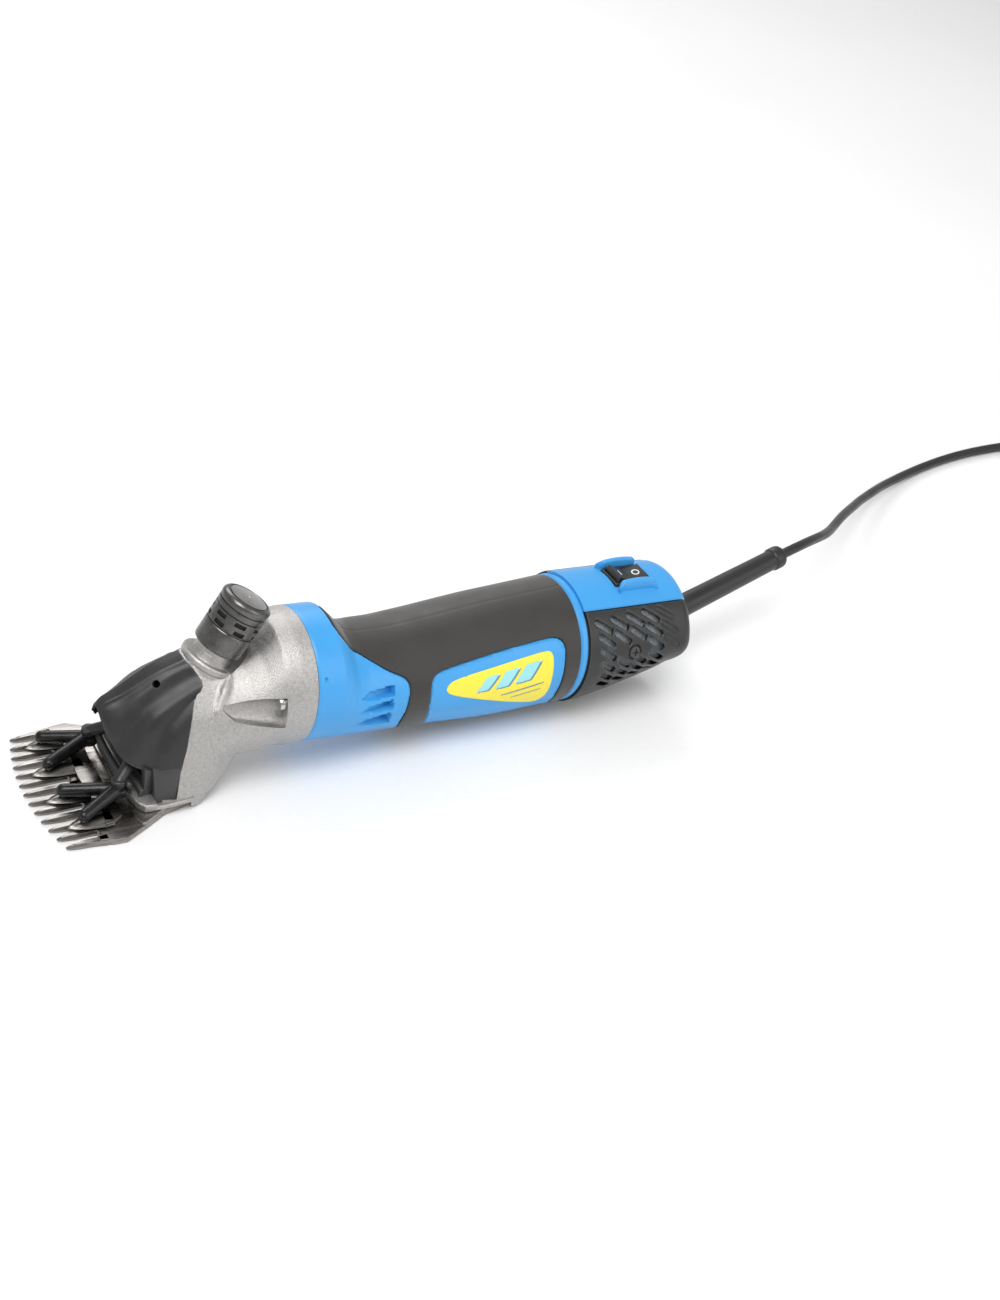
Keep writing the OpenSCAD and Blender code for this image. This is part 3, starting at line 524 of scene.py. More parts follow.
COLLAR = rounded(in_arc([(-20, -60), (13.5, -60), (13.5, -10), (13.6, 14), (15.2, 22), (20, 25.5),
    (26.5, 28), (32, 35.5), (37, 44.5), (41.5, 50.5), (47.2, 56.5), (49.8, 64), (50, 76.5),
    (49.4, 90), (48.8, 106), (49, 118), (52, 138), (53, 160), (53, 240), (-20, 240)]))
WINDOW = rounded(in_arc([(65, 150), (65, 132), (62.3, 108), (61.3, 92), (61, 81), (61, 71),
    (62, 62), (66, 57.5), (79, 54.5), (101, 50.5), (124, 48.6), (130, 50), (133.6, 57), (134, 70),
    (134, 90), (134.2, 112), (136, 138), (136, 150), (130, 156), (71, 156)]))
BADGE = rounded(in_arc([(69, 80), (69.5, 73), (74, 68), (98, 63.3), (122, 59), (126, 61),
    (127.3, 68), (127.6, 88), (128, 104), (126.5, 113), (122.5, 117), (114, 111), (93, 98),
    (75, 87)]))
LOUVRES = [in_arc(loop) for loop in (
    [(24.6, 74.5), (29, 67.2), (40.8, 63.4), (41, 72.4)],
    [(24, 90), (29.5, 82.6), (40.6, 79), (41, 88)],
    [(23, 107), (29, 99), (40.6, 94.4), (41.6, 109)])]


def collar(s, arc):
    return distance_to(COLLAR, s, np.abs(arc))


def window(s, arc):
    return distance_to(WINDOW, s, np.abs(arc))


def rubber_area(s, arc):
    return np.maximum(np.maximum(-collar(s, arc), -window(s, arc)), s - STRIPE_S)


def louvre_area(s, arc):
    return np.minimum.reduce([distance_to(loop, s, np.abs(arc)) for loop in LOUVRES])


PANEL_RIM = 1.4  # width of the raised rim round the badge panel
ON_LINE = 0.05   # a snapped vertex is at most this far from a zero line
SKIN_IN = 0.15   # how far the blue skin lies inside the CAD's outside
PIP_S, PIP_ARC, PIP_R = 3.8, 60.2 * ARC, 0.8  # small round mark on the front ring


def panel_rim(s, arc):
    return window(s, arc) + PANEL_RIM


def housing_depth(s, arc):
    area = rubber_area(s, arc)
    sunk = np.where(area < -ON_LINE, RUBBER + SKIN_IN, 0.0) + SKIN_IN
    sunk += np.where(area >= -ON_LINE, edge_drop(area, 0.7), 0)
    sunk += np.where((panel_rim(s, arc) < ON_LINE) & (area > 0), 0.35, 0)
    sunk += np.where(louvre_area(s, arc) < ON_LINE, np.clip((s - 22) * 0.24, 0, 4.2), 0)
    sunk += groove(s, 0.9, 0.5) + np.where(np.abs(s - REAR_S) < 0.7, 0.45, 0)
    return sunk + np.where(np.hypot(s - PIP_S, np.abs(arc) - PIP_ARC) < PIP_R, 1.2, 0)


def sleeve_depth(s, arc):
    return edge_drop(-rubber_area(s, arc), 0.9) + groove(arc, 0.7, 0.22)


WHOLE = (-180 * ARC, 180 * ARC)
skin("housing", (0, REAR_S), WHOLE, 0.76, BODY, housing_depth, "blue_plastic",
     snaps=(rubber_area, louvre_area, panel_rim), wrap=True, thickness=2.6,
     nodes=("motor_housing",), sharp=28)
skin("grip", (13, STRIPE_S), WHOLE, 0.7, BODY, sleeve_depth, "grip_rubber",
     keep=lambda s, arc: rubber_area(s, arc) + 0.28, wrap=True, thickness=2.3,
     nodes=("grip_sleeve",), sharp=40)

for side, label in SIDES:
    skin("badge_" + label, (67, 130), (56 * ARC * side, 120 * ARC * side), 0.55, BODY,
         lambda s, arc: 0.12 + edge_drop(-distance_to(BADGE, s, np.abs(arc)), 0.3), "label",
         keep=lambda s, arc: distance_to(BADGE, s, np.abs(arc)), thickness=0.5,
         nodes=("badge_plate_" + label,))

# Plain bars in place of a name: three slanted blocks over a dark shadow, and two thin lines
BARS = [([(85, 86), (90.5, 72), (97, 70.6), (91.5, 85)], "label_bar"),
        ([(95, 85.8), (100.5, 70), (108, 68.4), (102.5, 84.4)], "label_bar"),
        ([(106, 84.2), (111.5, 67.8), (120, 66), (114.5, 82.6)], "label_bar"),
        ([(100, 93.6), (123, 88.4), (123, 89.8), (100, 95)], "label_edge"),
        ([(106, 99), (122, 95.2), (122, 96.2), (106, 100)], "label_edge")]
for side, label in SIDES:
    for number, (loop, finish) in enumerate(BARS):
        for lift, shift, look in ((0.0, 0.0, finish), (-0.05, 1.0, "label_edge")):
            if shift and finish == "label_edge":
                continue
            flat = in_arc([(s + shift, angle + shift * 1.4) for s, angle in loop])
            low, high = min(p[1] for p in flat), max(p[1] for p in flat)
            skin(f"badge_bar_{label}_{number}_{int(shift)}", (84, 125),
                 (low * side, high * side), 0.4, BODY,
                 lambda s, arc, rise=lift: np.full(s.shape, 0.02 - rise), "label",
                 keep=lambda s, arc, loop=flat: distance_to(loop, s, np.abs(arc)),
                 thickness=0.3, material=look)


# ---------- Rear housing and filter covers ----------

CORNER_LONG, CORNER_DEEP = 7.5, 7.5
START_U = END_S - CORNER_LONG - REAR_S  # where the side ends and the corner begins
TURN_U = pi / 2 * (CORNER_LONG + CORNER_DEEP) / 2
REAR_U = START_U + TURN_U + REAR_R - CORNER_DEEP - HUB_R
TOP_HALF = 33.5  # half width of the blue top, in degrees
COVER_FROM, COVER_TO = TOP_HALF + 0.6, 179.7  # degrees
COVER_START = 0.25  # where a cover begins along the side
SWITCH_U, SWITCH_HALF_U, SWITCH_HALF_ARC = SWITCH_S - REAR_S, 11.6, 7.6
SLOT_TURN = radians(32)
SLOT_SIZE, RIB_SIZE = (4.3, 1.6), (4, 1.3)  # half length and half width
SCREW_U, SCREW_ARC, SCREW_ROOM = 27.5, 75 * ARC, 6.2
COVER_SLOTS = [(u, arc) for u, arc in (
    (9.5 + column * 9.6 + row * 1.2, (49 + row * 12.5 - column * 1.5) * ARC)
    for row in range(6) for column in range(4))
    if hypot(u - SCREW_U, arc - SCREW_ARC) >= SCREW_ROOM]
COVER_RIBS = [(47.5 + row * 1.2, (44 + row * 12.5) * ARC) for row in range(3)]


def rear_point(u, arc, depth):
    """Points of the rear end in body_frame: u runs along the side, round the corner and inward."""
    angle = arc / ARC * radians(1)
    round_part = np.clip((u - START_U) / TURN_U, 0, 1) * pi / 2
    low = np.clip((np.abs(arc) / ARC - 72) / 46, 0, 1)
    keel = np.clip((np.abs(arc) / ARC - 145) / 35, 0, 1)
    low = low * low * (3 - 2 * low) * (1 - 0.55 * keel * keel * (3 - 2 * keel))
    taper = low * 10.5 * np.clip(np.minimum(u, START_U + TURN_U) / 60, 0, 1) ** 1.3
    x = REAR_S + np.minimum(u, START_U) + (CORNER_LONG - depth) * np.sin(round_part)
    radius = (REAR_R - CORNER_DEEP + (CORNER_DEEP - depth) * np.cos(round_part)
              - np.clip(u - START_U - TURN_U, 0, 99) - taper * np.cos(round_part * 0.6))
    return np.stack([x, -radius * np.sin(angle), radius * np.cos(angle)], -1)


def switch_gap(u, arc):
    return np.maximum(np.abs(u - SWITCH_U) - SWITCH_HALF_U, np.abs(arc) * 1.1 - SWITCH_HALF_ARC)


def slanted(u, arc, middles, half, width):
    """Signed distance to the nearest of several slanted capsules on a cover."""
    found = []
    for middle_u, middle_arc in middles:
        du, da = u - middle_u, np.abs(arc) - middle_arc
        along = du * cos(SLOT_TURN) + da * sin(SLOT_TURN)
        across = -du * sin(SLOT_TURN) + da * cos(SLOT_TURN)
        found.append(np.hypot(along - np.clip(along, -half, half), across) - width)
    return np.minimum.reduce(found)


def slot_area(u, arc):
    return slanted(u, arc, COVER_SLOTS, *SLOT_SIZE)


def rib_area(u, arc):
    """Closed ribs in line with the slots, towards the rear end."""
    return slanted(u, arc, COVER_RIBS, *RIB_SIZE)


def cover_keep(u, arc):
    edge = np.maximum(COVER_FROM - np.abs(arc) / ARC, np.abs(arc) / ARC - COVER_TO) * ARC
    return np.maximum(np.maximum(edge, -slot_area(u, arc)), COVER_START - u)


def cover_depth(u, arc):
    rim = np.minimum(np.abs(arc) - COVER_FROM * ARC, u - COVER_START)
    screw = np.hypot(u - SCREW_U, np.abs(arc) - SCREW_ARC)
    sunk = edge_drop(np.maximum(rim, 0), 0.8) + edge_drop(np.maximum(slot_area(u, arc), 0), 0.5)
    return sunk + np.where(screw < 3.6, 0.9, 0) + groove(rib_area(u, arc), 0.6, 0.45)


def top_keep(u, arc):
    return np.maximum(np.abs(arc) - TOP_HALF * ARC, -switch_gap(u, arc))


def top_depth(u, arc):
    rim = np.minimum(TOP_HALF * ARC - np.abs(arc), switch_gap(u, arc))
    return 0.1 + edge_drop(np.maximum(rim, 0), 0.6)


skin("rear_top", (0, REAR_U), (-(TOP_HALF + 1) * ARC, (TOP_HALF + 1) * ARC), 0.6, BODY, top_depth,
     "blue_plastic", point=rear_point, keep=top_keep, thickness=2.4, nodes=("rear_housing",))
for side, label in SIDES:
    skin("cover_" + label, (0, REAR_U), ((TOP_HALF - 0.5) * ARC * side, 180 * ARC * side), 0.55,
         BODY, cover_depth, "black_plastic", point=rear_point, keep=cover_keep,
         snaps=(rib_area,), thickness=2.3, nodes=("filter_cover_" + label,))

for side, label in SIDES:
    skin("filter_" + label, (2, REAR_U - 8), ((TOP_HALF + 4) * ARC * side, 172 * ARC * side), 1.2,
         BODY, lambda u, arc: np.full(u.shape, 3.4), "foam", point=rear_point, thickness=1.2,
         nodes=("air_filter_" + label,))

screws, recesses = [], []
for side in (-1, 1):
    at = Matrix.Translation((SWITCH_S - 8, 0, 0)) @ turned(side * -75, "X")
    screws.append(moved(lathe([(26, 1.6), (32.2, 1.6), (32.2, 2.9), (33.0, 2.9), (33.45, 2.3),
                               (33.6, 1.2), (33.6, 0.1)], 48), at))
    recesses += [moved(box_part((-x, -y, 32.7), (x, y, 35)), at)
                 for x, y in ((1.9, 0.45), (0.45, 1.9))]
screws = remeshed("cover_screws", merge(*screws), 0.14, 1)
carve(screws, *recesses)
finish_mesh(screws, "black_steel", place=BODY, nodes=("filter_cover_screws",), material="gasket")

hub = [(END_S - 14, 10), (END_S - 14, 13.6), (END_S - 0.8, 13.9), (END_S, 13.2), (END_S, 8.4),
    (END_S - 3, 8.0), (END_S - 3, 7.4), (END_S - 12, 7.4), (END_S - 12, 10)]
sections = [[(r * cos(a), r * sin(a), h) for h, r in hub] for a in np.linspace(0, 2 * pi, 65)[:-1]]
points, faces = loft(sections + sections[:1], ends=False)
make("rear_hub", points, faces, "blue_plastic", place=BODY @ ALONG_X, sharp=30)


def signed_power(value, power):
    return np.sign(value) * abs(value) ** power


def guard(side):
    """A low wall beside the switch, flared out at its ends."""
    sections = []
    for x in np.linspace(-11.5, 11.5, 31):
        end = max(0.0, (abs(x) - 8.2) / 3.3)
        top = 37.0 - 0.010 * x * x - 2.6 * end ** 2
        y = 9.3 + 1.9 * end ** 2
        half = 1.35 - 0.35 * end ** 3
        ring = []
        for k in range(16):
            t = 2 * pi * k / 16
            c, n = cos(t), sin(t)
            ring.append((x, side * (y + half * signed_power(c, 0.5)),
                         30 + (top - 30) * max(0.0, 0.5 + 0.5 * signed_power(n, 0.35))))
        sections.append(ring)
    return loft(sections)


SWITCH_BASE = BODY @ Matrix.Translation((SWITCH_S, 0, 0))
make("switch_guards", *merge(guard(1), guard(-1)), "blue_plastic", place=SWITCH_BASE, sharp=50)


# ---------- Switch ----------

def rounded_box_loops(half_x, half_y, r, steps=6):
    return [(sx * (half_x - r) + r * cos(a + turn), sy * (half_y - r) + r * sin(a + turn))
            for sx, sy, turn in ((1, 1, 0), (-1, 1, pi / 2), (-1, -1, pi), (1, -1, 3 * pi / 2))
            for a in np.linspace(0, pi / 2, steps)]


bezel = plate([rounded_box_loops(11.3, 7.4, 1.2), rounded_box_loops(10.0, 6.1, 0.6)],
              30.2, 33.2)
make("switch_bezel", *bezel, "black_plastic", place=SWITCH_BASE, sharp=40)

top_line = [(9.6, 3.4), (4.8, 2.2), (0, 1.55), (-4.8, 3.1), (-8.5, 4.9), (-9.2, 2.6)]
under = [(9.6 * cos(radians(a)), 9.6 * sin(radians(a)))
         for a in range(185, 351, 15)]
outline = top_line + under + [(9.6, -1)]
sections = [[(x * k, y, z * k if z < 0 else z - drop) for x, z in outline]
            for y, k, drop in (
                (-5.8, 0.94, 0.4), (-5.4, 0.98, 0), (5.4, 0.98, 0), (5.8, 0.94, 0.4))]
SWITCH = BODY @ Matrix.Translation((SWITCH_S, 0, 31.5))
make("rocker", *loft(sections), "black_plastic", "rocker", SWITCH, ("switch_rocker",), sharp=25,
     bevel=0.2)
ring_mark = plate([circle(0, 0, 2.1), circle(0, 0, 1.45)], 0, 0.25, 0.03)
bar_mark = plate([[(-0.35, -2), (0.35, -2), (0.35, 2), (-0.35, 2)]], 0, 0.25, 0.03)
marks = merge(
    moved(ring_mark, Matrix.Translation((5.0, 0, 2.2)) @ Matrix.Rotation(-0.2, 4, "Y")),
    moved(bar_mark, Matrix.Translation((-5.0, 0, 3.05)) @ Matrix.Rotation(0.33, 4, "Y")))
make("rocker_marks", *marks, "black_plastic", "rocker", SWITCH, material="white_mark")


# ---------- Cord, coil, strain relief and plug ----------

TIP = BOOT @ Vector((BOOT_LENGTH, 0, 0))
LEAD = [(272, 21.2, 47.3), (284, 25.4, 46.4), (296, 31, 43.6), (308, 38, 39.4), (320, 46, 35),
    (332, 54.8, 31.2), (345, 64.4, 27.6), (360, 75, 23.2), (376, 85.6, 18.8), (392, 95.8, 14.8),
    (408, 105, 11.3), (426, 114.6, 8), (445, 123, 5.3), (465, 130.4, 3.6), (485, 136.2, 2.85),
    (505, 140.4, 2.75), (525, 143.2, 2.75), (545, 144.6, 2.75), (566, 144.9, 2.75),
    (587, 144.7, 2.75), (607, 144.5, 2.75), (627, 144.4, 2.75)]
TAIL = [(630, 67.6, 19.6), (619, 67.6, 18.8), (608, 67.4, 16.4), (598, 67.2, 14),
        (589, 67, 13), (579, 67, 13)]
COIL_AT, COIL_RADII, LAYER_STEP, CORD_Z = (640, 106), (38.4, 32.7, 27.0), 5.6, 2.75
COIL_STEPS = 20  # points to a turn


def coil_points():
    """The coil's turns, layer by layer, clockwise from the side where the lead comes in."""
    turns = []
    for layer in range(4):
        radii = COIL_RADII if layer % 2 == 0 else COIL_RADII[::-1]
        turns += [(r, CORD_Z + layer * LAYER_STEP) for r in radii]
    turns.append((COIL_RADII[0], turns[-1][1]))
    found = []
    for k in range(int(12.5 * COIL_STEPS) + 1):
        number, part = divmod(k / COIL_STEPS, 1)
        here = turns[min(int(number), 12)]
        following = turns[min(int(number) + 1, 12)]
        t = max(0.0, (part - 0.6) / 0.4)
        t = t * t * (3 - 2 * t)
        r, z = (a + (b - a) * t for a, b in zip(here, following))
        angle = pi / 2 - 2 * pi * k / COIL_STEPS
        found.append((COIL_AT[0] + r * cos(angle), COIL_AT[1] + r * sin(angle), z))
    return found


def make_cord():
    start = [tuple(BOOT @ Vector((x, 0, 0))) for x in (78, 88)]
    route = start + [tuple(TIP)] + LEAD + coil_points() + TAIL
    curve = bpy.data.curves.new("cord", "CURVE")
    curve.dimensions = "3D"
    spline = curve.splines.new("BEZIER")
    spline.bezier_points.add(len(route) - 1)
    for point, place in zip(spline.bezier_points, route):
        point.co = Vector(place) * MM
        point.handle_left_type = point.handle_right_type = "AUTO"
    spline.resolution_u = 4
    curve.bevel_depth, curve.bevel_resolution, curve.use_fill_caps = CORD_D / 2000, 4, True
    obj = linked("cord", curve)
    curve.materials.append(MATERIALS["cord"])
    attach(obj, "root")
    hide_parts("cord_lead", "cord_coil", "cord_tail")
    return obj


cord = make_cord()
boot_profile = [(-3, 6.0), (-3, 7.0), (0.6, 7.1), (1.4, 6.5), (3, 6.25), (20, 6.1), (45, 5.85),
    (70, 5.65), (88, 5.5), (90, 5.5), (90.5, 6.0), (91.2, 6.25), (95.4, 6.25), (96.6, 6.0),
    (97.6, 5.2), (98, 4.2), (97.4, 2.9)]
boot = make("strain_relief_boot", *lathe(boot_profile, 64), "cord",
            place=BOOT @ ALONG_X, nodes=("strain_relief",), sharp=40)


TIE_X, TIE_Z = COIL_AT[0] + COIL_RADII[1], 11.65
tie_sections = [[(TIE_X + x, y + COIL_AT[1], TIE_Z + z)
                 for x, z in rounded_box_loops(half_x, half_z, r)]
                for half_x, half_z, r, y in ((8.7, 10.8, 2.6, -3), (9.7, 11.4, 3.2, -3),
                                             (9.9, 11.6, 3.4, 0), (9.7, 11.4, 3.2, 3),
                                             (8.7, 10.8, 2.6, 3))]
points, faces = loft(tie_sections + tie_sections[:1], ends=False)
tie = make("coil_tie", points, faces, "cord", nodes=("cord_tie",), sharp=50)


def oval(x, half_y, half_z, power=2.6, steps=40, z=13.0):
    ring = []
    for k in range(steps):
        t = 2 * pi * k / steps
        c, n = cos(t), sin(t)
        ring.append((x, half_y * signed_power(c, 2 / power),
                     z + half_z * signed_power(n, 2 / power)))
    return ring


plug_rings = [oval(2, 3.6, 3.6, 2), oval(-2, 5.6, 5.6, 2), oval(-5, 6.4, 6.3, 2),
    oval(-6, 5.7, 5.7, 2), oval(-8, 6.6, 6.2, 2), oval(-12, 10.5, 7.0), oval(-16, 12.6, 7.5),
    oval(-24, 14.2, 8.2), oval(-31, 16.4, 8.8), oval(-33.4, 16.8, 9.0), oval(-34, 16.2, 8.4)]
plug = make("plug_body", *loft(plug_rings), "cord",
            place=Matrix.Translation((581, 67, 0)), nodes=("mains_plug",), sharp=35)


# ---------- Comb, cutter and yokes ----------

def tip_b(y):
    return COMB_TIP_R - sqrt(COMB_TIP_R ** 2 - y * y)


def blade(y, stations):
    """A ground tooth: stations of b, half width, bottom, top and the ridge's share of the width."""
    sections = []
    for b, half, low, high, ridge in stations:
        shoulder = low + (high - low) * 0.45
        sections.append([(b, y + half * out, z) for out, z in (
            (-0.8, low), (-1, shoulder), (-ridge, high), (ridge, high), (1, shoulder), (0.8, low))])
    return loft(sections)


def comb_tooth(y):
    b = tip_b(y)
    return blade(y, [(b, 0.35, 1.1, 1.6, 0.5), (b + 0.5, 0.62, 0.8, 1.9, 0.5),
                     (b + 2.2, 1.0, 0.5, 2.4, 0.5), (b + 5.5, 1.4, 0.15, 2.8, 0.5),
                     (b + 9, 1.62, 0, 3, 0.55), (max(b + 12, 20), 1.62, 0, 3, 0.6),
                     (25, 1.7, 0, 3, 0.8)])


HOLE_B, HOLE_Y = 57.5, 15  # the holes of the comb screws
outer = 38.0  # half the distance between the outermost tips
plate_edge = mirrored([(21, -39.6), (27, -41.0), (33, -41.4), (41, -37.2), (55, -29.5), (66, -27)])
gaps = []
for k in range(COMB_TEETH - 1, 0, -1):  # a rounded valley between each pair of teeth
    middle = (k - COMB_TEETH / 2) * COMB_PITCH
    gaps += [(21 + 1.6 * sin(t), middle + 1.9 * cos(t)) for t in np.linspace(0, pi, 7)]
comb_holes = [circle(HOLE_B, y, 2.7) for y in (HOLE_Y, -HOLE_Y)]
comb_parts = [plate([plate_edge + gaps] + comb_holes, 0, 3, 0.2)]
comb_parts += [comb_tooth((k - (COMB_TEETH - 1) / 2) * COMB_PITCH) for k in range(COMB_TEETH)]
for side in (-1, 1):  # the wide outer corners run forward into the last teeth
    edge = [(tip_b(outer) + 3, side * outer), (16, side * 39.3), (24, side * 40.6),
            (24, side * 37.4), (14, side * 38)]
    comb_parts.append(plate([edge], 0.1, 2.9, 0.1))
tang = mirrored([(40, -33.2), (41.5, -36.2), (43.5, -36), (55, -29.3), (66, -27)])
comb_parts.append(plate([tang + [(39.9, 25), (39.5, 0), (39.9, -25)]] + comb_holes, 0.2, 4.5, 0.35))
make("comb_blade", *merge(*comb_parts), "comb_steel", place=HEAD, nodes=("comb",), sharp=30)


def cutter_leaf(y):
    b = tip_b(y) + 6.5
    return blade(y, [(at, half, CUTTER_Z0, high, ridge) for at, half, high, ridge in (
        (b, 0.3, 3.9, 0.4), (b + 1.2, 1.1, 4.5, 0.25), (b + 3.5, 2.5, 5.1, 0.2),
        (b + 7, 3.9, 5.6, 0.2), (b + 11, 4.9, CUTTER_Z1, 0.25), (26, 5.3, CUTTER_Z1, 0.4),
        (30, 5.0, CUTTER_Z1, 0.6))])


cutter_edge = (
    mirrored([(25.6, -33.2), (29, -32.8), (34.2, -29.8), (35.2, -24), (34, -12), (34.2, 0)])
    + mirrored([(26.5, 24), (24.5, 18.9), (25.8, 14), (24.8, 0)]))
cutter_parts = [plate([cutter_edge, circle(30.5, 21, 1.6), circle(30.5, -21, 1.6)],
                      CUTTER_Z0, CUTTER_Z1)]
cutter_parts += [cutter_leaf(y) for y in POINT_Y]
make("cutter_blade", *merge(*cutter_parts), "comb_steel", "fork", HEAD, ("cutter",),
     material="cutter_steel", sharp=25)

YOKE_B, YOKE_Y = 36, 18.9
for side, label in ((1, "left"), (-1, "right")):
    apex = (YOKE_B, side * YOKE_Y, 11.6)
    parts = [disc(4.6, 8.9, 13.1, 32, apex[:2], 0.6)]
    for y in (side * 9.5, side * 28.3):
        end = (tip_b(y) + 14, y, 8.7)
        parts += [capsule(apex, end, 3.3, 2.9, 24), disc(1.45, 3.7, 8, 20, end[:2])]
    parts.append(disc(2.4, 8.5, 9, 24, apex[:2]))
    bars = remeshed("yoke_bars_" + label, merge(*parts), 0.33, 3)
    finish_mesh(bars, "black_steel", "fork", HEAD, ("yoke_" + label,), sharp=60)


# ---------- Head ----------

def head_ring(b, rows, tilt=0.0, steps=96):
    """A closed section: rows of (y, z) down one side from the top middle, mirrored."""
    ys, zs = zip(*rows)
    length = np.concatenate([[0], np.cumsum(np.hypot(np.diff(ys), np.diff(zs)))])
    t = np.linspace(0, length[-1], steps // 2 + 1)
    y, z = spline_through(length, ys, t), spline_through(length, zs, t)
    y = np.concatenate([y, -y[-2:0:-1]])
    z = np.concatenate([z, z[-2:0:-1]])
    return [(b + tilt * (pz - 43.2), py, pz) for py, pz in zip(y, z)]


def round_rows(r, centre, steps=24):
    return [(r * sin(a), centre + r * cos(a)) for a in np.linspace(0, pi, steps)]


# Nose cover: rows of (b, y, z) from the spine down to the lower edge, front to rear
NOSE = [
    [(30.4, 0, 45.6), (30.6, 2.0, 44.8), (31.0, 3.6, 42.8), (31.4, 4.9, 40.8), (31.7, 6.0, 39.4),
     (32.0, 6.9, 38.1), (32.3, 7.7, 37), (32.6, 8.4, 36.0)],
    [(33.5, 0, 47.9), (33.5, 2.5, 47.6), (33.5, 5.0, 44.2), (33.5, 7.4, 41), (33.6, 9.6, 38),
     (33.7, 11.4, 35), (33.8, 12.7, 32.6), (34.0, 13.6, 31.0)],
    [(40, 0, 51.2), (40, 3.0, 50.8), (40, 6.6, 47.2), (40, 10.5, 43.0), (40, 14, 38.4),
     (40, 17, 33.2), (40, 19, 28.6), (40.2, 20, 25.2)],
    [(48, 0, 56.2), (48, 3.4, 55.8), (48, 8.2, 52.0), (48, 13, 47.4), (48, 17.5, 41.6),
     (48, 20.8, 34.5), (48.2, 23, 27), (48.4, 24.1, 21.4)],
    [(57, 0, 61.2), (57, 3.6, 60.9), (57.2, 8.4, 57.4), (57.6, 14, 52.0), (57.2, 19, 46),
     (56.6, 22.6, 38.5), (55.8, 25.2, 29.5), (55, 26.4, 22.4)],
    [(68.4, 0, 65.6), (68.8, 3.8, 65.2), (71.6, 8.4, 62.2), (74.0, 13.6, 58.0), (69.4, 17.6, 53.4),
     (66.8, 21.8, 45.0), (64.0, 25.4, 32.5), (61.7, 27.3, 22.4)]]
NOSE_ROWS, NOSE_COLUMNS = 64, 44
NOSE_LONG, NOSE_DEEP = 38, 42  # millimetres along the spine and down one side
FLUTES = [[(0.95, 0.34), (0.62, 0.40), (0.42, 0.55), (0.28, 0.80), (0.22, 1.0)],
          [(1.0, 0.56), (0.80, 0.62), (0.64, 0.76), (0.56, 1.0)]]


def nose_grid():
    rows = np.array(NOSE)
    along, down = np.linspace(0, 1, len(NOSE)), np.linspace(0, 1, len(NOSE[0]))
    u, v = np.linspace(0, 1, NOSE_ROWS), np.linspace(0, 1, NOSE_COLUMNS)
    wide = np.stack([np.stack([spline_through(down, rows[i, :, axis], v) for axis in range(3)], -1)
                     for i in range(len(NOSE))])
    grid = np.stack([np.stack([spline_through(along, wide[:, j, axis], u) for axis in range(3)], -1)
                     for j in range(NOSE_COLUMNS)], 1)
    return grid, u, v


def flute_depth(u, v):
    sunk = np.zeros(np.broadcast(u, v).shape)
    for line, depth in zip(FLUTES, (1.5, 1.7)):
        best = np.full(sunk.shape, FAR)
        for (au, av), (bu, bv) in zip(line, line[1:]):
            du, dv = (bu - au) * NOSE_LONG, (bv - av) * NOSE_DEEP
            pu, pv = (u - au) * NOSE_LONG, (v - av) * NOSE_DEEP
            t = np.clip((pu * du + pv * dv) / (du * du + dv * dv), 0, 1)
            best = np.minimum(best, np.hypot(pu - t * du, pv - t * dv))
        sunk = np.maximum(sunk, depth * np.exp(-(best / 3.6) ** 2))
    crease = 0.7 * np.exp(-((v - 0.2) * NOSE_DEEP / 1.8) ** 2) * np.clip(u * 3, 0, 1)
    return np.maximum(sunk, crease)


def nose_normals(grid):
    normal = np.cross(np.gradient(grid, axis=1), np.gradient(grid, axis=0))
    normal /= np.maximum(np.linalg.norm(normal, axis=-1, keepdims=True), 1e-9)
    return -normal if normal[NOSE_ROWS // 2, NOSE_COLUMNS // 2, 1] < 0 else normal


ROOM_UNDER, ROOM_OVER, ROOM_FIRST_ROW = 3.2, 8, 40


def cover_room(side):
    """The space just under and above the rear rows of one half of the nose cover, to cut out of
    the casing; it reaches a little past the middle."""
    grid = nose_grid()[0]
    normal = nose_normals(grid)
    low, high = grid - normal * ROOM_UNDER, grid + normal * ROOM_OVER
    low[:, 0, 1], high[:, 0, 1] = -0.5, -0.5
    rows = [*range(ROOM_FIRST_ROW, NOSE_ROWS - 1, 3), NOSE_ROWS - 1]
    columns = [*range(0, NOSE_COLUMNS - 1, 2), NOSE_COLUMNS - 1]
    points, faces = [], []
    for layer in (low, high):
        points += [(p[0], side * p[1], p[2]) for p in layer[np.ix_(rows, columns)].reshape(-1, 3)]
    wide, half = len(columns), len(rows) * len(columns)
    for i in range(len(rows) - 1):
        for j in range(wide - 1):
            a = i * wide + j
            faces += [(a, a + 1, a + 1 + wide, a + wide),
                      (a + half, a + half + wide, a + half + 1 + wide, a + half + 1)]
    rim = list(range(wide)) + [i * wide + wide - 1 for i in range(1, len(rows))]
    rim += range(half - 2, half - wide - 1, -1)
    rim += [i * wide for i in range(len(rows) - 2, 0, -1)]
    faces += [(a, b, b + half, a + half) for a, b in zip(rim, rim[1:] + rim[:1])]
    return points, faces


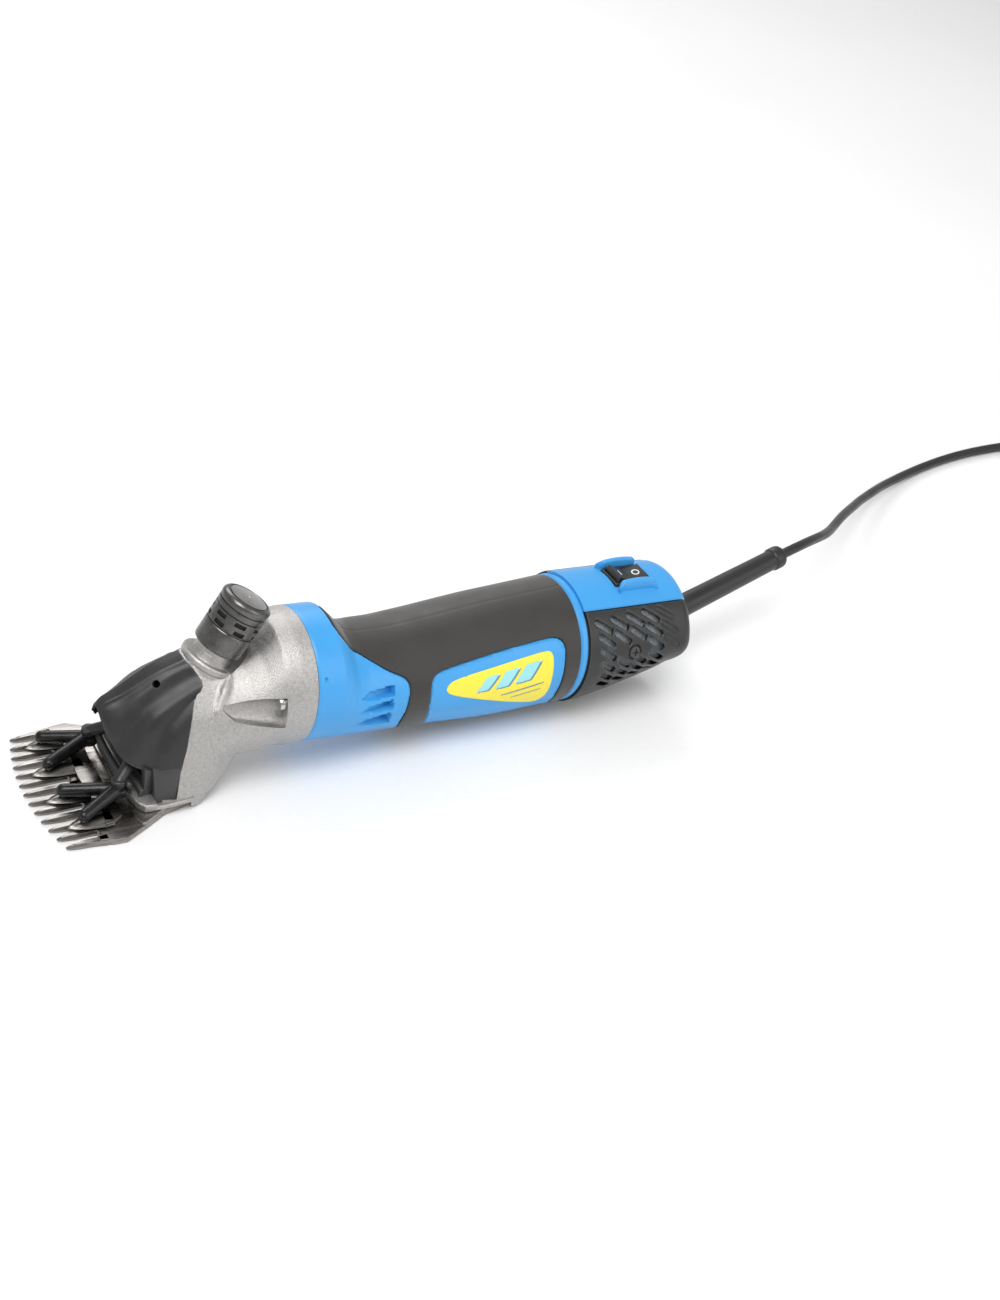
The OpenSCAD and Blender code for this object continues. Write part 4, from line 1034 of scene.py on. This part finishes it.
# Rings of the head: b, then rows of (y, z) down one side from the top middle to the bottom
BARREL = [
    (56, [(0, 60), (6, 58.5), (14, 51), (19.5, 44), (23, 36), (25.2, 26), (25, 14), (0, 13)]),
    (63, [(0, 63), (5.5, 62), (13, 55), (19, 48), (23.4, 39), (26.4, 28), (26.5, 14), (0, 12)]),
    (70, [(0, 65.2), (5, 64.6), (12, 58.6), (18, 52), (23.6, 43), (26.6, 31), (27, 16), (0, 12)]),
    (78, [(0, 62.5), (6, 61.6), (12, 58), (18.4, 52), (24, 44.4), (27, 35), (26.5, 20), (0, 12)]),
    (86, [(0, 61), (7, 60.6), (13.4, 57.6), (20.4, 52.2), (26, 45), (28.4, 36), (24, 22), (0, 12)]),
    (94, [(0, 62), (8, 61.6), (15.6, 58.6), (22.8, 53), (27.8, 46), (29.4, 37), (22, 20.4),
        (0, 12)]),
    (102, [(0, 67), (9, 66), (17.6, 62), (25, 55.6), (29.4, 47), (30, 38), (21.4, 19), (0, 12)]),
]
FOOT = [
    (52, [(0, 20), (18, 20), (23, 18), (26.5, 13), (28.5, 6), (0, 4.9)]),
    (60, [(0, 28), (19, 28), (25.6, 22), (28.2, 13), (29.8, 4.9), (0, 4.8)]),
    (66.6, [(0, 33), (19, 33), (25.8, 26), (28.2, 15), (29.8, 4.9), (0, 4.8)]),
    (67.4, [(0, 33), (19, 33), (25.8, 26), (28.4, 14), (29.6, 0.8), (0, 0.6)]),
    (71, [(0, 34), (19, 34), (25.8, 27), (28.2, 15), (28.6, 0.8), (0, 0.6)]),
    (78, [(0, 36), (19, 36), (25.4, 29), (27, 18), (26, 6.0), (0, 5.4)]),
    (86, [(0, 38), (18, 37), (23.6, 31), (24.6, 22), (22, 13.4), (0, 12.4)]),
    (93, [(0, 38), (17, 36), (21, 31), (21, 26), (18, 21.6), (0, 20.6)]),
]
RING_TILT = tan(radians(3))  # the barrel's rear rings stand square to the body
round_rings = [(109, 30.8, 43.3), (116, 31.9, 43.3), (124, 32, 43.2)]
barrel = loft([head_ring(b, rows) for b, rows in BARREL]
              + [head_ring(b, round_rows(r, z), RING_TILT) for b, r, z in round_rings])
foot = loft([head_ring(b, rows) for b, rows in FOOT])
boss = moved(moved(lathe([(20, 12.2), (38.0, 12.2)], 64), TENSION), HEAD.inverted())
ridges = []
for side in (-1, 1):
    ridge = [(b, side * y, z) for b, y, z in (
        (88, 11, 57.2), (83.6, 16.8, 53.9), (78.8, 21, 46.9), (76.6, 25, 34.4), (78.4, 25.4, 24))]
    ridges += [capsule(p, q, 2.5, 2.5) for p, q in zip(ridge, ridge[1:])]
casing = remeshed("casing", merge(barrel, foot, boss, *ridges), 0.7, 4)


def scoop(side):
    """The driver's channel in the casing's side, deeper towards its square rear end."""
    sections = []
    for t in np.linspace(0, 1, 24):
        b = 80.6 + 28 * t
        half = (4.4 + 3.6 * t) * min(1.0, t * 6 + 0.02) ** 0.5
        middle, depth, rise = 49.2 - 3.6 * t, 21.4 + 2.4 * t, 1.2 + 5.6 * t
        ring = [(b, side * (depth + rise * (1 - cos(a))), middle + half * sin(a))
                for a in np.linspace(-pi / 2, pi / 2, 17)]
        ring += [(b, side * 45, middle + half), (b, side * 45, middle - half)]
        sections.append(ring)
    return loft(sections)


FORK_ROOM = 15.5  # half width of the space inside for the fork


def in_head(part, place):
    return moved(part, HEAD.inverted() @ place)


behind = in_head(box_part((-0.4, -60, -60), (20, 60, 60)), BODY)
knob_pocket = in_head(lathe([(40.6, 13.4), (80, 13.4)], 64), TENSION)
ahead = moved(box_part((-120, -60, 2.2), (0, 60, 120)),
              Matrix.Translation((59.5, 0, 5)) @ turned(7.8, "Y"))
carve(casing, behind, ahead, cover_room(1), cover_room(-1), knob_pocket, scoop(1), scoop(-1),
      box_part((43, -FORK_ROOM, 15.5), (84, FORK_ROOM, 48)),
      in_head(box_part((-60, -FORK_ROOM, -26), (-12, FORK_ROOM, 4)), BODY),
      in_head(moved(lathe([(-12, 26.9), (6, 26.9)], 64), ALONG_X), BODY),
      in_head(lathe([(14, 7.6), (45, 7.6)], 48), TENSION),
      *[disc(2.6, 0, 13.4, 24, (HOLE_B, y)) for y in (-HOLE_Y, HOLE_Y)])
lip = [(40.6, 0), (40.5, 12), (40.8, 19), (42.2, 27), (44.8, 30.7), (50.4, 31), (50.4, 0)]
ledge = [(45.4, 30.6), (50, 31), (60, 30.8), (68, 30.2), (70, 27), (50, 20)]
for number, (loop, top) in enumerate(((lip + [(b, -y) for b, y in lip[:-1][::-1]], 8.6),
                                      (ledge, 6.9), ([(b, -y) for b, y in ledge], 6.9))):
    make(f"bed_{number}", *plate([loop], 4.65, top, 0.7), "cast_head", place=HEAD, sharp=40)
finish_mesh(casing, "cast_head", place=HEAD, nodes=("head_casing",), sharp=32)

screw_parts = []
for side in (-1, 1):
    head_at = Matrix.Translation((105.0, side * 26.9, 49.8)) @ ALONG_X
    screw_parts.append(moved(lathe([(0, 0.6), (0, 1.6), (0.3, 2.9), (1.2, 3.3), (2.2, 3.3),
                                    (2.3, 1.6), (4.4, 1.6)], 32), head_at))
make("casing_screws", *merge(*screw_parts), "steel", place=HEAD, material="chrome")


def nose_skin():
    """Points and faces of the whole nose cover, with its flutes."""
    grid, u, v = nose_grid()
    grid = grid - nose_normals(grid) * flute_depth(u[:, None], v[None, :])[..., None]
    halves = [loft([[(x, side * y, z) for x, y, z in row] for row in grid], False, False)
              for side in (1, -1)]
    return merge(*halves)


nose = make("nose_cover_shell", *nose_skin(), "black_plastic", place=HEAD, sharp=30)
clean(nose.data, weld=0.00002)
wall = nose.modifiers.new("wall", "SOLIDIFY")
wall.thickness, wall.offset = 0.0012, -1
apply_modifiers(nose)
oil_axis = Vector((-0.45, -0.53, 0.72))
oil_turn = Vector((0, 0, 1)).rotation_difference(oil_axis).to_matrix().to_4x4()
oil_at = Matrix.Scale(MM, 4) @ HEAD @ Matrix.Translation((54.6, -7.4, 57.6)) @ oil_turn
carve(nose, moved(lathe([(-5, 1.75), (5, 1.75)], 32), oil_at))
nose.data.set_sharp_from_angle(angle=radians(32))
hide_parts("nose_cover")

skirts = []
for side in (-1, 1):
    face = [(49.4, 24.3, 23.4), (61.8, 27.2, 23.4), (59.5, 28.5, 7.0), (50.0, 28.5, 7.0)]
    skirts.append(loft([[(b, side * (y - inner), z) for b, y, z in face] for inner in (4, 0)]))
    inner_face = [(46, 23.5), (50, 21.6), (50, 7.4), (46.4, 7.4)]
    skirts.append(loft([[(b, side * y, z) for b, z in inner_face] for y in (19.6, 23.6)]))
skirts.append(plate([[(44.2, -24), (46.4, -24), (46.4, 24), (44.2, 24)]], 6.6, 12.4, 0.6))
make("nose_skirts", *merge(*skirts), "black_plastic", place=HEAD, bevel=0.5, sharp=30)


claw = mirrored([(63.6, -8.5), (86, -8), (90.3, -7.6), (90.3, -4.8), (80, -4.8)])
arms = [disc(9, 24.2, 35, 40, (63.6, 0), 0.6)]
arms += [capsule((57, side * 3, 29), (YOKE_B, side * YOKE_Y, 15.4), 4.6, 2.6, 24)
         for side in (-1, 1)]
arms += [disc(3.4, 13.2, 17.2, 28, (YOKE_B, side * YOKE_Y), 0.5) for side in (-1, 1)]
fork = remeshed("fork_arms", merge(*arms), 0.5, 3)
finish_mesh(fork, "black_steel", "fork", HEAD, ("fork",), "black_plastic", sharp=60)
make("fork_claw", *plate([claw], 26, 35, 0.4), "black_steel", "fork", HEAD, sharp=40)
bar = [(38.6, 0, 14.4), (38.8, 8, 14.4), (39.3, 15, 14.4), (40.2, 20.6, 14.2)]
bar = [(b, -y, z) for b, y, z in bar[:0:-1]] + bar
make("fork_bar", *merge(*[capsule(p, q, 1.7, 1.7, 16) for p, q in zip(bar, bar[1:])]),
    "black_steel", "fork", HEAD, material="black_plastic", sharp=60)


# ---------- Tension knob and sleeve ----------

SLOTS = 7  # in each row
SLOT_ROWS = ((58.6, 60.4, 0.0), (62.4, 64.2, pi / 28))  # low, high and turn of a row
SLOT_HALF = 0.205  # half width of a slot's floor, in radians


def knob_radius(height, r, angle):
    for low, high, turn in SLOT_ROWS:
        if low <= height <= high and cos(SLOTS * (angle + turn)) > 0.05:
            return r - 1.0
    return r


def knob_slots():
    """Floors of the knob's slots, painted near black as the shade inside the shallow recesses."""
    parts = []
    for low, high, turn in SLOT_ROWS:
        for k in range(SLOTS):
            middle = 2 * pi * k / SLOTS - turn
            sections = []
            for angle in np.linspace(middle - SLOT_HALF, middle + SLOT_HALF, 9):
                c, s = cos(angle), sin(angle)
                sections.append([(r * c, r * s, z) for r, z in (
                    (10.6, low + 0.06), (11.1, low + 0.06),
                    (11.1, high - 0.06), (10.6, high - 0.06))])
            parts.append(loft(sections))
    return merge(*parts)


knob_heights = [46.4, 46.6, 47.2, 48, 50, 52, 54, 56, 56.9, 57.19, 57.3, 57.7, 58.1, 58.5, 58.65,
    59.5, 60.35, 60.5, 61.5, 62.3, 62.45, 63.3, 64.15, 64.3, 65.2, 65.5, 66.1, 66.4, 67.4, 68.4,
    68.6, 69.0, 69.2, 70.6, 71.5, 72.2, 72.7, 73.0, 73.1, 73.1, 72.7, 72.65]
knob_radii = [10.6, 11.4, 11.75, *[11.8] * 5, 11.7, 11.5, 11.0, 11.0, 11.6, *[11.8] * 12, 11.2,
    11.2, 11.8, 11.9, 11.8, 11.3, 11.3, 11.8, 12.0, 11.9, 11.5, 11.0, 10.5, 10.1, 9.7, 9.5, 0.8]
knob_profile = [(46.4, 7.6), (46.4, 9.5), *zip(knob_heights, knob_radii), (72.3, 0.7), (72.3, 0.1)]
make("knob", *lathe(knob_profile, 240, knob_radius), "chrome", "tension_knob", TENSION,
     ("tension_knob",), material="gunmetal", sharp=26)
# The slot floors carry painted shade, near black, in place of the recesses' own shadow
make("knob_slots", *knob_slots(), "chrome", "tension_knob", TENSION, material="slot_painted_shade", sharp=40)
make("knob_cap", *lathe([(73.0, 8.9), (73.14, 9.0), (73.2, 8.8), (73.2, 1.2), (72.6, 0.8)], 96),
    "chrome", "tension_knob", TENSION, material="brushed", sharp=40)
sleeve_profile = [(37.2, 7.6), (37.2, 12.9), (37.8, 13.3), (39.6, 13.3), (40.4, 12.8), (40.5, 10.6),
    (40.3, 9.9), (41.2, 9.5), (43.6, 9.4), (43.9, 9.15), (56.6, 9.15), (57, 8.8), (57, 5)]
make("sleeve", *lathe(sleeve_profile, 96), "steel", "root", TENSION, ("tension_sleeve",),
     material="cast_head", sharp=30)


# ---------- CAD nodes that stay, with their finishes ----------

slots = {part.get("node") or part.get("name"): part.get("material_slot")
         for part in frame["record"].get("subparts", [])}
for node_name, obj in frame["nodes"].items():
    look = slots.get(node_name) or "steel"
    obj.data.materials.clear()
    obj.data.materials.append(MATERIALS.get(look, MATERIALS["steel"]))


# ---------- Floor and light ----------

def add_stage():
    bpy.ops.mesh.primitive_plane_add(size=12, location=(0, 0, -0.0002))
    floor = bpy.context.object
    floor.name = "floor"
    floor.data.materials.append(node_material("pale_floor", grey(0.86), 0, 0.7, grey(0.84),
                                              patch=3, grain=300, bump=0.02))
    world = bpy.data.worlds.new("studio")
    world.use_nodes = True
    background = world.node_tree.nodes["Background"]
    background.inputs["Color"].default_value = (1, 1, 1, 1)
    background.inputs["Strength"].default_value = 0.55
    scene.world = world
    for name, place, size, power in (("key", (-0.5, -0.6, 1.6), 1.0, 22),
                                     ("fill", (1.1, -1.3, 0.9), 1.2, 8),
                                     ("rim", (0.3, 1.4, 1.2), 1.0, 12)):
        data = bpy.data.lights.new(name, "AREA")
        data.energy, data.size = power, size
        light = linked(name, data)
        light.location = place
        light.rotation_mode = "QUATERNION"
        light.rotation_quaternion = (Vector((0, 0, 0.03)) - Vector(place)).to_track_quat("-Z", "Y")


add_stage()
scene.view_settings.view_transform = "Standard"
